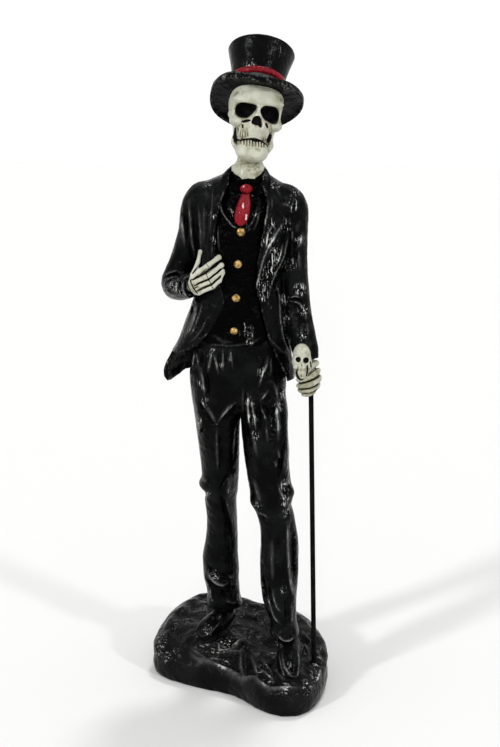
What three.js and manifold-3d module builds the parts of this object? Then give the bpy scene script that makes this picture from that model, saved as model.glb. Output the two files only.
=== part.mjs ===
// Cast figure of a skeleton in a top hat and open suit, standing on a mound of rocky ground,
// one hand on its chest and the other closed round a skull-headed cane.
// Millimetres, +Z up. The origin is the centre of the ground's plan box, on the table,
// and -Y is the front of the ground. The figure is shaped in its own frame, whose -Y is
// the way its chest and face look, and is then turned and set down on the ground.
import * as THREE from 'three';
import { mergeVertices } from 'three/addons/utils/BufferGeometryUtils.js';
import Module from 'manifold-3d';

// Driving dimensions
const figureTurn = THREE.MathUtils.degToRad(12);
const figureSpot = [-1.5, -8.5];
const touchGap = 0.3;

const frontRim = 16;
const backRim = 27.5;
const rimRounding = 4;
const rightLedge = 30;
const leftLedge = 24;

const hemLevel = 195.8;
const hemSlope = 0.07;
const clothStep = 1.4;

const headCentre = [11.2, 2.4, 358.5];
const headRoll = THREE.MathUtils.degToRad(8);
const headTurn = THREE.MathUtils.degToRad(5);
const skullWidth = 32;

const brimCentre = [11.5, 4, 365];
const hatTilt = THREE.MathUtils.degToRad(31);
const hatRoll = THREE.MathUtils.degToRad(7.4);
const brimRadius = 27.6;
const brimThickness = 1.8;
const brimTip = 0.1;
const brimLevel = 0.03;
const brimDip = 4.4;
const crownBase = 14.2;
const crownTop = 19.8;
const crownHeight = 32.6;
const bandLevel = 8.6;
const bandHeight = 3.6;

const buttonRadius = 2.4;
const rodRadius = 1.5;
const rodFoot = [48, -23.8, 20];
const rodTop = [44.1, -23.2, 206];

// Solids are joined and cut as manifolds.
const wasm = await Module();
wasm.setup();

function solid(geometry) {
  const bare = geometry.clone();
  bare.deleteAttribute('normal');
  bare.deleteAttribute('uv');
  const merged = mergeVertices(bare, 1e-4);
  return new wasm.Manifold(new wasm.Mesh({
    numProp: 3,
    vertProperties: new Float32Array(merged.attributes.position.array),
    triVerts: new Uint32Array(merged.index.array),
  }));
}

function geometryOf(manifold) {
  const mesh = manifold.getMesh();
  const geometry = new THREE.BufferGeometry();
  geometry.setAttribute('position', new THREE.BufferAttribute(mesh.vertProperties, 3));
  geometry.setIndex(new THREE.BufferAttribute(mesh.triVerts, 1));
  geometry.computeVertexNormals();
  return geometry;
}

function joined(solids) {
  return solids.reduce((whole, next) => whole.add(next));
}

// Closed skin over a stack of rings with the same number of points, anticlockwise about the
// way the stack runs, with a fan over each end.
function loft(rings) {
  const count = rings[0].length;
  const positions = rings.flat().flatMap((p) => [p.x, p.y, p.z]);
  const index = [];
  for (let r = 0; r < rings.length - 1; r += 1) {
    for (let i = 0; i < count; i += 1) {
      const a = r * count + i;
      const b = r * count + ((i + 1) % count);
      index.push(a, b, b + count, a, b + count, a + count);
    }
  }
  const last = rings.length - 1;
  for (const [ring, offset, flip] of [[rings[0], 0, true], [rings[last], last * count, false]]) {
    const centre = ring.reduce((sum, p) => sum.add(p), new THREE.Vector3()).divideScalar(count);
    const hub = positions.length / 3;
    positions.push(centre.x, centre.y, centre.z);
    for (let i = 0; i < count; i += 1) {
      const a = offset + i;
      const b = offset + ((i + 1) % count);
      index.push(hub, flip ? b : a, flip ? a : b);
    }
  }
  const geometry = new THREE.BufferGeometry();
  geometry.setAttribute('position', new THREE.Float32BufferAttribute(positions, 3));
  geometry.setIndex(index);
  return geometry;
}

// Values between stations on one smooth curve: each station is a list of numbers.
function smooth(stations, t) {
  const span = (stations.length - 1) * Math.min(Math.max(t, 0), 1);
  const i = Math.min(Math.floor(span), stations.length - 2);
  const f = span - i;
  const at = (k) => stations[Math.min(Math.max(k, 0), stations.length - 1)];
  return stations[i].map((_, k) => {
    const [p0, p1, p2, p3] = [at(i - 1)[k], at(i)[k], at(i + 1)[k], at(i + 2)[k]];
    const m1 = (p2 - p0) / 2;
    const m2 = (p3 - p1) / 2;
    const f2 = f * f;
    const f3 = f2 * f;
    return (2 * f3 - 3 * f2 + 1) * p1 + (f3 - 2 * f2 + f) * m1
      + (3 * f2 - 2 * f3) * p2 + (f3 - f2) * m2;
  });
}

// Upright form: level rings through stations [height, x, y, half width, half depth].
// Angle 0 is the figure's left, -90 degrees its front. The fold function adds to the radius.
function upright(stations, steps, sides, { grow = 0, power = 2, fold = () => 0 } = {}) {
  const rings = [];
  for (let s = 0; s <= steps; s += 1) {
    const [z, x, y, rx, ry] = smooth(stations, s / steps);
    const ring = [];
    for (let i = 0; i < sides; i += 1) {
      const angle = (2 * Math.PI * i) / sides;
      const [c, d] = [Math.cos(angle), Math.sin(angle)];
      const reach = (Math.abs(c) ** power + Math.abs(d) ** power) ** (-1 / power);
      const out = fold(angle, z) + grow;
      ring.push(new THREE.Vector3(x + (rx + out) * c * reach, y + (ry + out) * d * reach, z));
    }
    rings.push(ring);
  }
  return rings;
}

// Limb along a bent line through stations [x, y, z, radius], with a domed cap at each end.
function limb(stations, steps, sides, { flat = 1, side = [0, 0, 1], fold = () => 0 } = {}) {
  const path = new THREE.CatmullRomCurve3(stations.map(([x, y, z]) => new THREE.Vector3(x, y, z)));
  const sideways = new THREE.Vector3(...side);
  const rings = [];
  const ringAt = (t, shrink, push) => {
    const radius = smooth(stations, t)[3];
    const centre = path.getPoint(t);
    const along = path.getTangent(t);
    const across = sideways.clone().cross(along).normalize();
    const up = along.clone().cross(across).normalize();
    centre.addScaledVector(along, push * radius);
    const ring = [];
    for (let i = 0; i < sides; i += 1) {
      const angle = (2 * Math.PI * i) / sides;
      const reach = (radius + fold(angle, t)) * shrink;
      ring.push(centre.clone()
        .addScaledVector(across, reach * Math.cos(angle))
        .addScaledVector(up, reach * flat * Math.sin(angle)));
    }
    rings.push(ring);
  };
  ringAt(0, 0.6, -0.55);
  for (let s = 0; s <= steps; s += 1) ringAt(s / steps, 1, 0);
  ringAt(1, 0.6, 0.55);
  return loft(rings);
}

function ball([x, y, z], [rx, ry, rz], around = 16, down = 10) {
  const geometry = new THREE.SphereGeometry(1, around, down);
  geometry.scale(rx, rz, ry);
  geometry.rotateX(Math.PI / 2);
  geometry.translate(x, y, z);
  return geometry;
}

// Prism with an outline drawn as seen from the front, [x, z], running from y = near to y = far.
function frontPrism(outline, near, far) {
  const shape = new THREE.Shape(outline.map(([x, z]) => new THREE.Vector2(x, z)));
  const geometry = new THREE.ExtrudeGeometry(shape, { depth: far - near, bevelEnabled: false });
  geometry.rotateX(Math.PI / 2);
  geometry.translate(0, far, 0);
  return geometry;
}

const bump = (value, centre, width) => Math.exp(-(((value - centre) / width) ** 2));
const turnTo = (angle, degrees) => {
  const off = angle - THREE.MathUtils.degToRad(degrees);
  return Math.atan2(Math.sin(off), Math.cos(off));
};

// Rocky ground: a skewed kidney plan with a rounded wall and a rolling top with two ledges.
const groundOutline = [
  [-56.5, -13.5], [-47.5, -23.5], [-30.5, -31.2], [-16.5, -34.6], [-1.5, -38], [8.5, -43.5],
  [18.5, -51.5], [29.5, -57.6], [39.5, -58.8], [49, -54.8], [56, -41.5], [58.5, -18.5],
  [55.5, 1.5], [47.5, 18.5], [37.5, 33.5], [27.5, 41.5], [15.5, 44.5], [2.5, 48.5],
  [-10.5, 55.5], [-28.5, 58.5], [-42.5, 53.5], [-50.5, 41.5], [-55.5, 21.5], [-57.5, 1.5],
];

// The wall is low along the front and rises round the sides to the back.
function rimAt(x, y) {
  const back = THREE.MathUtils.smoothstep(y + 0.25 * Math.abs(x), -25, 42);
  return frontRim + (backRim - frontRim) * back;
}

function groundHeight(x, y) {
  const hump = (cx, cy, rx, ry, rise) => rise * Math.exp(-(((x - cx) / rx) ** 2)
    - ((y - cy) / ry) ** 2);
  return rimAt(x, y) + 3.2
    + hump(-12, -6, 20, 18, rightLedge - frontRim - 5.5)
    + hump(40, -34, 16, 18, leftLedge - frontRim - 4)
    + hump(-42, -4, 9, 12, 2.5)
    + hump(-19, -15, 15, 10, 6)
    + 1.1 * Math.sin(x * 0.23 + y * 0.17) * Math.cos(y * 0.21 - x * 0.11);
}

function ground() {
  const sides = 28;
  const hub = new THREE.Vector3(0, -6, 0);
  const curve = new THREE.CatmullRomCurve3(
    groundOutline.map(([x, y]) => new THREE.Vector3(x, y, 0)), true);
  const edge = curve.getSpacedPoints(sides).slice(0, sides);
  const middle = new THREE.Box3().setFromPoints(edge).getCenter(new THREE.Vector3());
  edge.forEach((p) => p.sub(middle));
  const scaled = (fraction, height) => edge.map((p) => {
    const point = hub.clone().lerp(p, fraction);
    point.z = height(point.x, point.y);
    return point;
  });
  const rings = [
    scaled(0.985, () => 0),
    scaled(1, () => 2),
    scaled(0.995, (x, y) => rimAt(x, y) - rimRounding),
    scaled(0.97, (x, y) => rimAt(x, y)),
    ...[0.92, 0.8, 0.64, 0.44, 0.2].map((f) => scaled(f, (x, y) => {
      const top = groundHeight(x, y);
      return f > 0.9 ? (rimAt(x, y) * 0.55 + top * 0.45) : top;
    })),
  ];
  return loft(rings);
}

// Trouser legs, [height, x, y, half width, half depth].
const rightLeg = [
  [46, -8.4, 9.9, 11.6, 12.4], [50, -8.7, 9.2, 11, 12], [55, -9.1, 8.5, 10.5, 11.6],
  [64, -9.9, 7.3, 10.8, 12.3], [72, -10.4, 6, 11.4, 12.4], [82, -10.8, 4.7, 11.2, 11.6],
  [94, -9.8, 2.9, 10.1, 11], [107, -9.6, 1.1, 9.5, 10.5], [119, -10.4, -0.5, 9.8, 11],
  [129, -10.4, -1.9, 11, 12.2], [143.5, -10.5, -2.7, 11.8, 12.8], [155, -11, -3.2, 12.5, 13.6],
  [167, -11.6, -3.7, 13.3, 14.6], [178, -12, -4.3, 14.2, 15.4], [190, -12.6, -4.6, 15.2, 16],
  [204, -12.5, -4.6, 15.8, 16.5],
];
const leftLeg = [
  [30, 33.6, -24.6, 5, 7], [34.3, 32.9, -24.1, 5.9, 9], [40.5, 30.9, -23, 7, 10.4],
  [48.3, 28.8, -22.5, 8.3, 11], [56, 27.3, -22.1, 9.4, 11.5], [64, 26.2, -21.7, 10.6, 12],
  [75.5, 26, -21, 11.6, 12.2], [87, 26, -20.4, 11.9, 12.2], [98.6, 26.2, -19.7, 11.6, 11.8],
  [110, 25, -19.1, 11.1, 11.8], [120, 22.8, -17.7, 11.7, 12.6], [132, 20.6, -16.1, 12.8, 13.2],
  [147, 18.6, -14, 13.4, 14], [158, 17.8, -12.4, 14, 14.6], [169, 16.9, -10.8, 14.2, 15.2],
  [180, 16.7, -9.2, 14.4, 15.8], [192, 15.8, -7.6, 13.6, 16.4], [204, 14.6, -6, 13.6, 16.6],
];
const hips = [
  [180, 2.2, -6, 14, 10], [186, 1.8, -5.8, 24, 14], [193, 1.2, -5.5, 28.2, 16],
  [202, 0.9, -5, 29.2, 17.6], [212, 1.2, -4.8, 28.4, 18.6], [225, 1.4, -4.5, 26.5, 18.8],
  [238, 1.2, -4.2, 24, 18],
];

// Folds in cloth: [degrees round, height, half height, half width in radians, rise, drift].
// The drift turns a fold by so many degrees for each millimetre of height.
const rightLegFolds = [
  [-92, 160, 30, 0.3, 1.7, 0.3], [-58, 172, 26, 0.28, 1.5, 0.2], [-126, 178, 22, 0.3, 1.5, -0.3],
  [-92, 100, 34, 0.3, 1.2, 0.2], [-112, 66, 5, 0.8, 2.4, 0], [180, 131, 3.4, 0.7, 2.2, 0],
  [185, 124.5, 2.4, 0.8, -1.6, 0], [-60, 130, 5, 0.5, 1.3, 2], [-60, 52, 6, 0.5, 1.2, 0],
  [60, 118, 5, 0.7, 1.4, 0], [100, 170, 24, 0.4, 1.2, 0.2],
];
const leftLegFolds = [
  [-108, 162, 28, 0.3, 2, -0.4], [-74, 150, 30, 0.26, 1.6, 0.2], [-42, 160, 26, 0.28, 1.8, 0.3],
  [-85, 84, 34, 0.3, 1.4, 0], [-145, 125, 4.4, 0.7, 2.3, 0], [-20, 131, 3.4, 0.5, 2, 0],
  [-30, 121.5, 2.6, 0.8, -1.8, 0], [-70, 133, 4, 0.5, 1.4, 2], [100, 122, 4, 0.6, 1.4, 0],
  [-60, 44, 7, 0.4, 1.3, 0], [80, 170, 24, 0.4, 1.2, 0],
];
const hipFolds = [
  [-128, 206, 13, 0.2, 1.5, 0], [-104, 206, 13, 0.2, 1.4, 0], [-58, 204, 14, 0.24, 1.5, 0],
  [-80, 190, 7, 0.3, 1.2, 0],
];
const coatFolds = [
  [-35, 199, 14, 0.45, 3, 0], [192, 194, 10, 0.5, 2.4, 0], [90, 205, 22, 0.2, -1.8, 0],
  [62, 206, 26, 0.26, 1.8, 0], [122, 206, 26, 0.26, 1.8, 0], [-45, 262, 26, 0.22, 1.6, -0.4],
  [-62, 232, 22, 0.2, 1.5, 0.3], [30, 236, 16, 0.3, 1.3, 1], [150, 240, 16, 0.3, 1.3, -1],
];
const vestFolds = [
  [-118, 240, 10, 0.3, 0.9, 2], [-62, 238, 10, 0.3, 0.9, -2], [-90, 226, 5, 0.4, 0.8, 0],
];

const folded = (folds) => (angle, z) => folds.reduce((sum, fold) => {
  const [degrees, height, tall, wide, rise, drift] = fold;
  const off = turnTo(angle, degrees + drift * (z - height));
  return sum + rise * bump(z, height, tall) * bump(off, 0, wide);
}, 0);

// Shoes, along the sole: [x, y, z, radius].
function shoes() {
  const right = limb([
    [-7.5, 15, 36.8, 6.5], [-9.5, 7.5, 37.6, 7.2], [-13.2, 1, 36.6, 7.4], [-17.6, -4, 35.4, 7.2],
    [-20.4, -7.4, 34.6, 6],
  ], 5, 8, { flat: 0.82 });
  const left = limb([
    [33, -13, 30, 6.2], [32.8, -21, 31, 7], [32.3, -28.5, 29.8, 7.3], [31.9, -35, 28.6, 7.2],
    [31.8, -39.6, 27.8, 6],
  ], 5, 8, { flat: 0.82 });
  const ankle = limb([[-8.4, 10.2, 51, 8], [-8.8, 9.4, 44, 7.6], [-9.4, 8.8, 38, 6.6]], 2, 7);
  return [right, left, ankle];
}

// Waistcoat and coat, [height, x, y, half width, half depth].
const waistcoat = [
  [222.5, -0.5, -4.5, 24, 20.6], [227, -0.5, -4.5, 24.2, 21.2], [236, -0.2, -4.3, 24, 21],
  [250, 0.5, -4, 23.4, 20.4], [268, 1.5, -3.5, 22.6, 19.8], [284, 2.5, -3, 22.4, 19],
  [298, 3.5, -2.5, 22, 17.6], [308, 4.6, -1.8, 19.5, 15.6], [317, 5.8, -0.6, 13, 12.4],
];
const coat = [
  [190, -4.6, -1, 38.2, 23.2], [196, -4.8, -1, 39, 23.6], [204, -5.2, -1.2, 39.4, 23.6],
  [213, -3.8, -1.8, 37, 23], [222, -1.6, -2.8, 33.8, 22.2], [232, -0.2, -3.5, 31.3, 21.4],
  [244, 1.3, -3.9, 28.6, 21], [256, 2.5, -3.6, 26.4, 20.9], [272, 2.9, -2.8, 25.8, 20.9],
  [290, 3.6, -1.8, 27.4, 20.2], [305, 4.2, -1, 29, 18.6], [313, 3.8, -0.4, 28, 16.4],
  [317.5, 3.8, 0.4, 21.4, 14.2], [321, 5.4, 1, 14.6, 12.2], [324, 6.2, 1.4, 10.4, 10],
];
const skirtHollow = [
  [180, -4.6, -1, 36, 21], [196, -4.8, -1, 36.4, 21.2], [204, -5.2, -1.2, 36.8, 21.2],
  [213, -3.8, -1.8, 34.2, 20.4], [222, -1.4, -2.8, 30, 19], [230, 0, -3.4, 26, 16],
];

// Front edges of the coat, as seen from the front, [x, z]. The opening between them shows
// the waistcoat, and lower down, on the figure's right, the front edge swings out and back.
const coatOpening = [
  [-3.4, 334], [-4.5, 316], [-8, 309], [-10.5, 300], [-12.2, 288], [-12, 272], [-9.5, 259],
  [-6.5, 249], [-9.5, 240], [-15.8, 231], [-24, 221], [-34, 215], [-60, 211], [-60, 180],
  [31, 180], [30, 202], [25.2, 211], [20.4, 222], [16.6, 236], [13.8, 248], [12, 260],
  [12.4, 272], [15, 286], [18, 300], [17.4, 309], [14, 316],
  [16.6, 326], [16.6, 334],
];
const swungSide = [[-60, 180], [-60, 214], [-34, 216], [-24, 221.5], [-16, 224], [-16, 180]];
const rightLapel = [
  [-4, 318], [-9, 315], [-14, 311], [-16.4, 298], [-17.2, 282], [-16, 266], [-12.6, 256],
  [-9.5, 259], [-12, 272], [-12.2, 288], [-10.5, 300], [-8, 309],
];
const leftLapel = [
  [15, 316], [22, 313], [26, 306], [22.8, 301], [27.5, 295], [22, 283], [16, 270], [12.6, 262],
  [12.3, 272], [15, 286], [18, 300], [17.4, 309],
];

function clothing() {
  const coatShape = { power: 2.3, fold: folded(coatFolds) };
  const coatBody = solid(loft(upright(coat, 14, 22, coatShape)));
  const hollow = solid(loft(upright(skirtHollow, 4, 16, coatShape)));
  const opening = solid(frontPrism(coatOpening, -60, -3));
  const swing = solid(frontPrism(swungSide, -60, 3));
  const below = new THREE.BoxGeometry(160, 160, 60);
  below.translate(0, 0, -30);
  below.rotateY(-Math.atan(hemSlope));
  below.translate(-4, 0, hemLevel + 1.3);
  const grownCoat = solid(loft(upright(coat, 14, 22, { ...coatShape, grow: clothStep })));
  const lapels = [rightLapel, leftLapel].map((outline) =>
    grownCoat.intersect(solid(frontPrism(outline, -60, -4))));
  const jacket = joined([coatBody.subtract(opening).subtract(swing).subtract(hollow), ...lapels])
    .subtract(solid(below));
  const vestShape = { power: 2.4, fold: folded(vestFolds) };
  const vest = solid(loft(upright(waistcoat, 7, 18, vestShape)));
  const vee = [[-9, 312], [-7.5, 302], [-2.5, 294.5], [3, 292.5], [9, 295], [15, 304], [17, 312],
    [14, 322], [-4, 322]];
  const shirtStep = solid(loft(upright(waistcoat, 7, 18, { power: 2.4, grow: -clothStep })));
  const cutFront = solid(frontPrism(vee, -60, -4)).subtract(shirtStep);
  return joined([vest.subtract(cutFront), jacket]);
}

// Collar rolled round the neck, a limb flattened against it.
function collar() {
  return limb([
    [-9, -15, 312, 2], [-7.4, -9.4, 317.6, 2.4], [-4.2, -2.5, 321.8, 2.6], [1, 6.4, 324.6, 3],
    [8, 8.8, 325.2, 3], [14.2, 5, 323.8, 2.8], [17.4, -3, 320, 2.5], [18.8, -9.8, 315.2, 2.4],
    [18.5, -15, 311.4, 2],
  ], 10, 5, { flat: 0.9 });
}

function shirtCollar() {
  const proud = solid(loft(upright(waistcoat, 7, 18, { power: 2.4, grow: 1.8 })));
  const wings = [
    [[-5, 324], [-6, 313], [1.4, 309.5], [3.6, 316], [2, 322]],
    [[14.6, 324], [16, 313], [9.6, 309.5], [8, 316], [9, 322]],
  ];
  return wings.map((outline) => proud.intersect(solid(frontPrism(outline, -60, -4))));
}

function tie() {
  const knot = ball([5.8, -17, 314.2], [3.6, 2.6, 2.5], 8, 6);
  const blade = upright([
    [293.5, 2.9, -20.6, 2, 0.9], [296, 3, -20.6, 3.8, 1.7], [302, 3.8, -20, 4.3, 2],
    [308, 4.8, -18.8, 3.4, 2], [312, 5.4, -17.6, 2.6, 1.8],
  ], 5, 10);
  return [solid(knot), solid(loft(blade))];
}

function buttons() {
  const line = [[2.8, -22, 289.7], [1, -23.1, 271.1], [-0.2, -24.3, 251.2], [-1.4, -25.5, 231.9]];
  return line.map((spot) => solid(ball(spot, [buttonRadius, 1.6, buttonRadius], 8, 4)));
}

// Sleeves, [x, y, z, radius].
const rightSleeve = [
  [-19.4, 0, 308, 9.2], [-23.8, 0.5, 300.6, 9.4], [-26.2, 2, 287, 8.9], [-31.2, 4, 270, 9],
  [-36, 5, 257, 9.6], [-35, -2, 255.2, 8.8], [-31, -12, 256.4, 7.9], [-27.4, -19, 258, 7.2],
];
const leftSleeve = [
  [28.8, -1, 306.2, 9.2], [32.9, -1.5, 300.6, 9.7], [33.6, -2, 289, 9], [33.4, -2.5, 272, 9],
  [33.8, -3.5, 257, 9.4], [36, -8, 241, 8.8], [39, -14, 227, 8.3], [41.8, -18.6, 216, 7.9],
];

function sleeves() {
  const fold = (angle, t) => 0.7 * Math.sin(angle * 2 + t * 26) * bump(t, 0.62, 0.22);
  return [
    limb(rightSleeve, 9, 9, { side: [0.5, 1, 0.2], fold }),
    limb(leftSleeve, 9, 9, { side: [0, 1, 0], fold }),
  ];
}

// Finger bones as one limb, thick at each joint and thin between.
function finger(joints, radius, slim = 0.76) {
  const stations = joints.flatMap((joint, k) => {
    if (k === joints.length - 1) return [[...joint, radius]];
    const mid = joint.map((value, axis) => (value + joints[k + 1][axis]) / 2);
    return [[...joint, radius], [...mid, radius * slim]];
  });
  return limb(stations, stations.length - 1, 5, { side: [0.3, 1, 0.2] });
}

// Hand on the chest: a wrist, four finger rays and a raised thumb.
function chestHand() {
  const wrist = [[-27, -18, 258, 3.4], [-24.5, -24.5, 258.6, 3.8], [-21.5, -26.4, 260, 3.6]];
  const rays = [
    [[[-22.6, -27.4, 263.4], [-17.4, -28, 268.4], [-10.2, -26.6, 274.6]], 1.7],
    [[[-22.4, -28.2, 260.4], [-16.4, -28.8, 265], [-9.8, -27.4, 270]], 1.75],
    [[[-21, -28.2, 257.8], [-14.6, -28.9, 261.8], [-9.2, -27.4, 266.6]], 1.7],
    [[[-19, -27.6, 255.6], [-13.4, -28.4, 258.6], [-8.8, -26.6, 263.4]], 1.6],
    [[[-25.6, -25, 261], [-22.8, -26, 269.2], [-20.4, -25, 278]], 1.6],
  ];
  return [
    limb(wrist, 2, 5),
    ball([-16, -24.6, 264], [7, 3.6, 5.6], 8, 6),
    ...rays.map(([joints, radius]) => finger(joints, radius)),
  ];
}

// Hand closed round the cane, below the skull knob.
function caneHand() {
  const parts = [
    limb([[41, -18, 214, 5.4], [42.2, -20.4, 207, 6], [42.4, -22, 200, 5.6]], 2, 8),
    ball([41.8, -22.8, 200.9], [7.8, 6.8, 8], 8, 6),
  ];
  for (let k = 0; k < 4; k += 1) {
    const z = 206.5 - k * 3.5;
    const slope = -1.2;
    const reach = 6.2 - 0.45 * k;
    parts.push(limb([
      [42.2 + reach, -22.4, z + slope, 1.6], [42.2 + reach * 0.72, -27.2, z + slope * 0.6, 1.8],
      [42.2, -29.4 + 0.4 * k, z, 1.9], [42.2 - reach * 0.76, -27.4 + 0.4 * k, z - slope * 0.6, 1.8],
      [42.2 - reach, -23, z - slope, 1.4],
    ], 3, 5));
  }
  const knob = ball([38.2, -26.6, 215.6], [6.1, 6.6, 7.8], 10, 6);
  const jaw = ball([38, -29.4, 208.4], [4, 4, 4.8], 8, 6);
  let head = solid(knob).add(solid(jaw));
  for (const [x, z, r] of [[35.8, 216, 1.7], [40.6, 215.6, 1.8]]) {
    head = head.subtract(solid(ball([x, -32.6, z], [r, 2.4, r], 6, 4)));
  }
  head = head.subtract(solid(ball([38.2, -33.6, 211.8], [1.1, 1.8, 1.3], 5, 4)));
  return { parts, head };
}

// Skull, shaped about the middle of the head at the level of its eyes, then rolled and turned.
const jawLevel = -16;
const muzzle = [
  [-28.8, 0.6, -8.5, 6, 5], [-27.2, 0.6, -8.2, 8.6, 7.6], [-23.3, 0.6, -7.6, 10.6, 9.6],
  [-18, 0.3, -6.8, 10.8, 10.4], [-12, 0, -6.4, 10.2, 10.6], [-6, 0, -6, 9.4, 10],
];
const jawSides = [
  [-24.5, 1, -2, 10.2, 7], [-20, 1, -0.5, 11.8, 8], [-14, 0.6, 1.4, 12.8, 8],
  [-5, 0, 3, 13.6, 8],
];

function skull() {
  const half = skullWidth / 2;
  let head = joined([
    solid(ball([0, 2.2, 1], [half, 18.4, 18], 16, 8)),
    solid(ball([0, -6.2, -7.6], [16, 10, 6.4], 12, 5)),
    solid(loft(upright(muzzle, 5, 12, { power: 2.3 }))),
    solid(loft(upright(jawSides, 3, 12, { power: 2.2 }))),
  ]);
  for (const side of [-1, 1]) {
    head = head.subtract(solid(ball([side * 7.2, -15, -1.2], [6.4, 7, 5.2], 9, 5)));
    head = head.subtract(solid(ball([side * 11.8, -10, -16], [2.2, 7, 6], 6, 4)));
    head = head.subtract(solid(ball([side * 19, -1, -11], [4.6, 8, 7], 8, 5)));
  }
  const nose = [[0.3, -2.6], [-3.1, -8], [-1.8, -9.6], [0.3, -8], [2.4, -9.6], [3.7, -8]];
  head = head.subtract(solid(frontPrism(nose, -40, -14)));
  const mouth = limb([[-9.6, -13, jawLevel - 2.4, 0.7], [-4, -17, jawLevel - 0.2, 0.7],
    [4, -17, jawLevel - 0.2, 0.7], [9.6, -13, jawLevel - 2.4, 0.7]], 4, 5);
  head = head.subtract(solid(mouth));
  for (let k = -2.5; k <= 2.5; k += 1) {
    const gap = new THREE.BoxGeometry(0.6, 3, 6);
    gap.translate(k * 2.5, -17.6 + 0.2 * k * k, jawLevel - 2.4 - 0.14 * k * k);
    head = head.subtract(solid(gap));
  }
  return head;
}

function placedHead(shape) {
  const geometry = geometryOf(shape);
  geometry.rotateZ(headTurn);
  geometry.rotateY(headRoll);
  geometry.translate(...headCentre);
  return solid(geometry);
}

function neck() {
  return loft(upright([
    [311, 6.8, -1, 10.6, 11.4], [319, 7, -0.8, 9.8, 10.8], [324, 7.3, -0.2, 8.9, 9.2],
    [329, 7.8, 0.4, 7.8, 7.8], [334, 8.3, 0.8, 7.4, 7.4], [343, 9.6, 0.6, 7.2, 6.4],
    [350, 10.6, 1.2, 6.2, 5.4],
  ], 6, 10));
}

// Front edge of the brim, [x, height]: level at the sides and dipping over the brow.
const brimFront = [
  [-27.6, -0.6], [-24, 0.8], [-20, 1.2], [-17, 1], [-14, 0.4], [-11, -0.8], [-8, -2],
  [-4, -3.1], [0, -3.5], [4, -3.2], [8, -2.7], [11, -2.1], [14, -1.4], [17, -0.4],
  [20, 0.8], [24, 1.4], [27.6, 0.9],
];

function brimFrontAt(x) {
  const k = brimFront.findIndex(([reach]) => reach >= x - 1e-6);
  if (k <= 0) return brimFront[k < 0 ? brimFront.length - 1 : 0][1];
  const [[x0, z0], [x1, z1]] = [brimFront[k - 1], brimFront[k]];
  return z0 + ((z1 - z0) * (x - x0)) / (x1 - x0);
}

// The skull ends inside the brim, lower at the back where the brim dips, each cut [fall, height].
function underBrim(shape) {
  const place = new THREE.Matrix4().makeTranslation(...brimCentre)
    .multiply(new THREE.Matrix4().makeRotationY(hatRoll))
    .multiply(new THREE.Matrix4().makeRotationX(-hatTilt));
  return [[0, -0.5], [0.1, -0.3]].reduce((cut, [fall, height]) => {
    const down = new THREE.Vector3(0, -fall, -1).transformDirection(place);
    const level = new THREE.Vector3(0, 0, height).applyMatrix4(place);
    return cut.trimByPlane(down.toArray(), level.dot(down));
  }, shape);
}

// Top hat: a flaring crown, a raised band and a brim that dips at front and back.
function hat() {
  const profile = [
    [0, -1.4], [brimRadius - 0.7, -brimThickness / 2], [brimRadius, 0],
    [brimRadius - 0.7, brimThickness / 2], [19.5, 1.1], [crownBase + 1, 2],
    [crownBase + 0.8, bandLevel], [crownBase + 1.8, bandLevel + 0.4],
    [crownBase + 2, bandLevel + bandHeight], [crownBase + 1.3, bandLevel + bandHeight + 0.4],
    [crownTop - 0.7, 25], [crownTop, crownHeight - 2.2], [crownTop - 1.6, crownHeight],
    [0, crownHeight + 0.6],
  ];
  const geometry = new THREE.LatheGeometry(profile.map(([r, z]) => new THREE.Vector2(r, z)), 20);
  geometry.rotateX(Math.PI / 2);
  const place = geometry.attributes.position;
  for (let i = 0; i < place.count; i += 1) {
    const [x, y] = [place.getX(i), place.getY(i)];
    const out = Math.max(0, Math.hypot(x, y) - 16) / (brimRadius - 16);
    if (place.getZ(i) < 3) {
      const dip = brimDip * bump(x, 0, 0.4 * brimRadius);
      const side = THREE.MathUtils.smoothstep(y, -9, 3);
      const back = brimLevel * x - brimTip * y - dip;
      const front = brimFrontAt((x / Math.max(Math.hypot(x, y), 1)) * brimRadius);
      place.setZ(i, place.getZ(i) + out * (front * (1 - side) + back * side));
    }
  }
  geometry.rotateX(-hatTilt);
  geometry.rotateY(hatRoll);
  geometry.translate(...brimCentre);
  return geometry;
}

function rod(radius, foot, top, sides) {
  const [a, b] = [new THREE.Vector3(...foot), new THREE.Vector3(...top)];
  const geometry = new THREE.CylinderGeometry(radius, radius, a.distanceTo(b), sides);
  const along = b.clone().sub(a).normalize();
  geometry.applyQuaternion(new THREE.Quaternion().setFromUnitVectors(
    new THREE.Vector3(0, 1, 0), along));
  geometry.translate(...a.clone().add(b).divideScalar(2).toArray());
  return geometry;
}

const setDown = new THREE.Matrix4().makeRotationZ(figureTurn)
  .setPosition(figureSpot[0], figureSpot[1], 0);

function turned(shape) {
  const geometry = geometryOf(shape);
  geometry.applyMatrix4(setDown);
  return solid(geometry);
}

const hand = caneHand();
const figure = joined([
  solid(loft(upright(rightLeg, 17, 16, { power: 2.2, fold: folded(rightLegFolds) }))),
  solid(loft(upright(leftLeg, 18, 16, { power: 2.2, fold: folded(leftLegFolds) }))),
  solid(loft(upright(hips, 6, 18, { power: 2.3, fold: folded(hipFolds) }))),
  ...shoes().map(solid),
  clothing(),
  ...shirtCollar(),
  ...tie(),
  ...buttons(),
  ...[collar(), ...sleeves()].map(solid),
  ...chestHand().map(solid),
  ...hand.parts.map(solid),
  hand.head,
  underBrim(placedHead(skull())),
  solid(neck()),
  solid(hat()),
]);

const socketFoot = [rodFoot[0] + 0.01, rodFoot[1], rodFoot[2] - touchGap];
const socketTop = [rodTop[0], rodTop[1], rodTop[2] + touchGap];
const casting = turned(figure).add(solid(ground()))
  .subtract(turned(solid(rod(rodRadius + touchGap, socketFoot, socketTop, 16))));
const cane = turned(solid(rod(rodRadius, rodFoot, rodTop, 16)));

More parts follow.
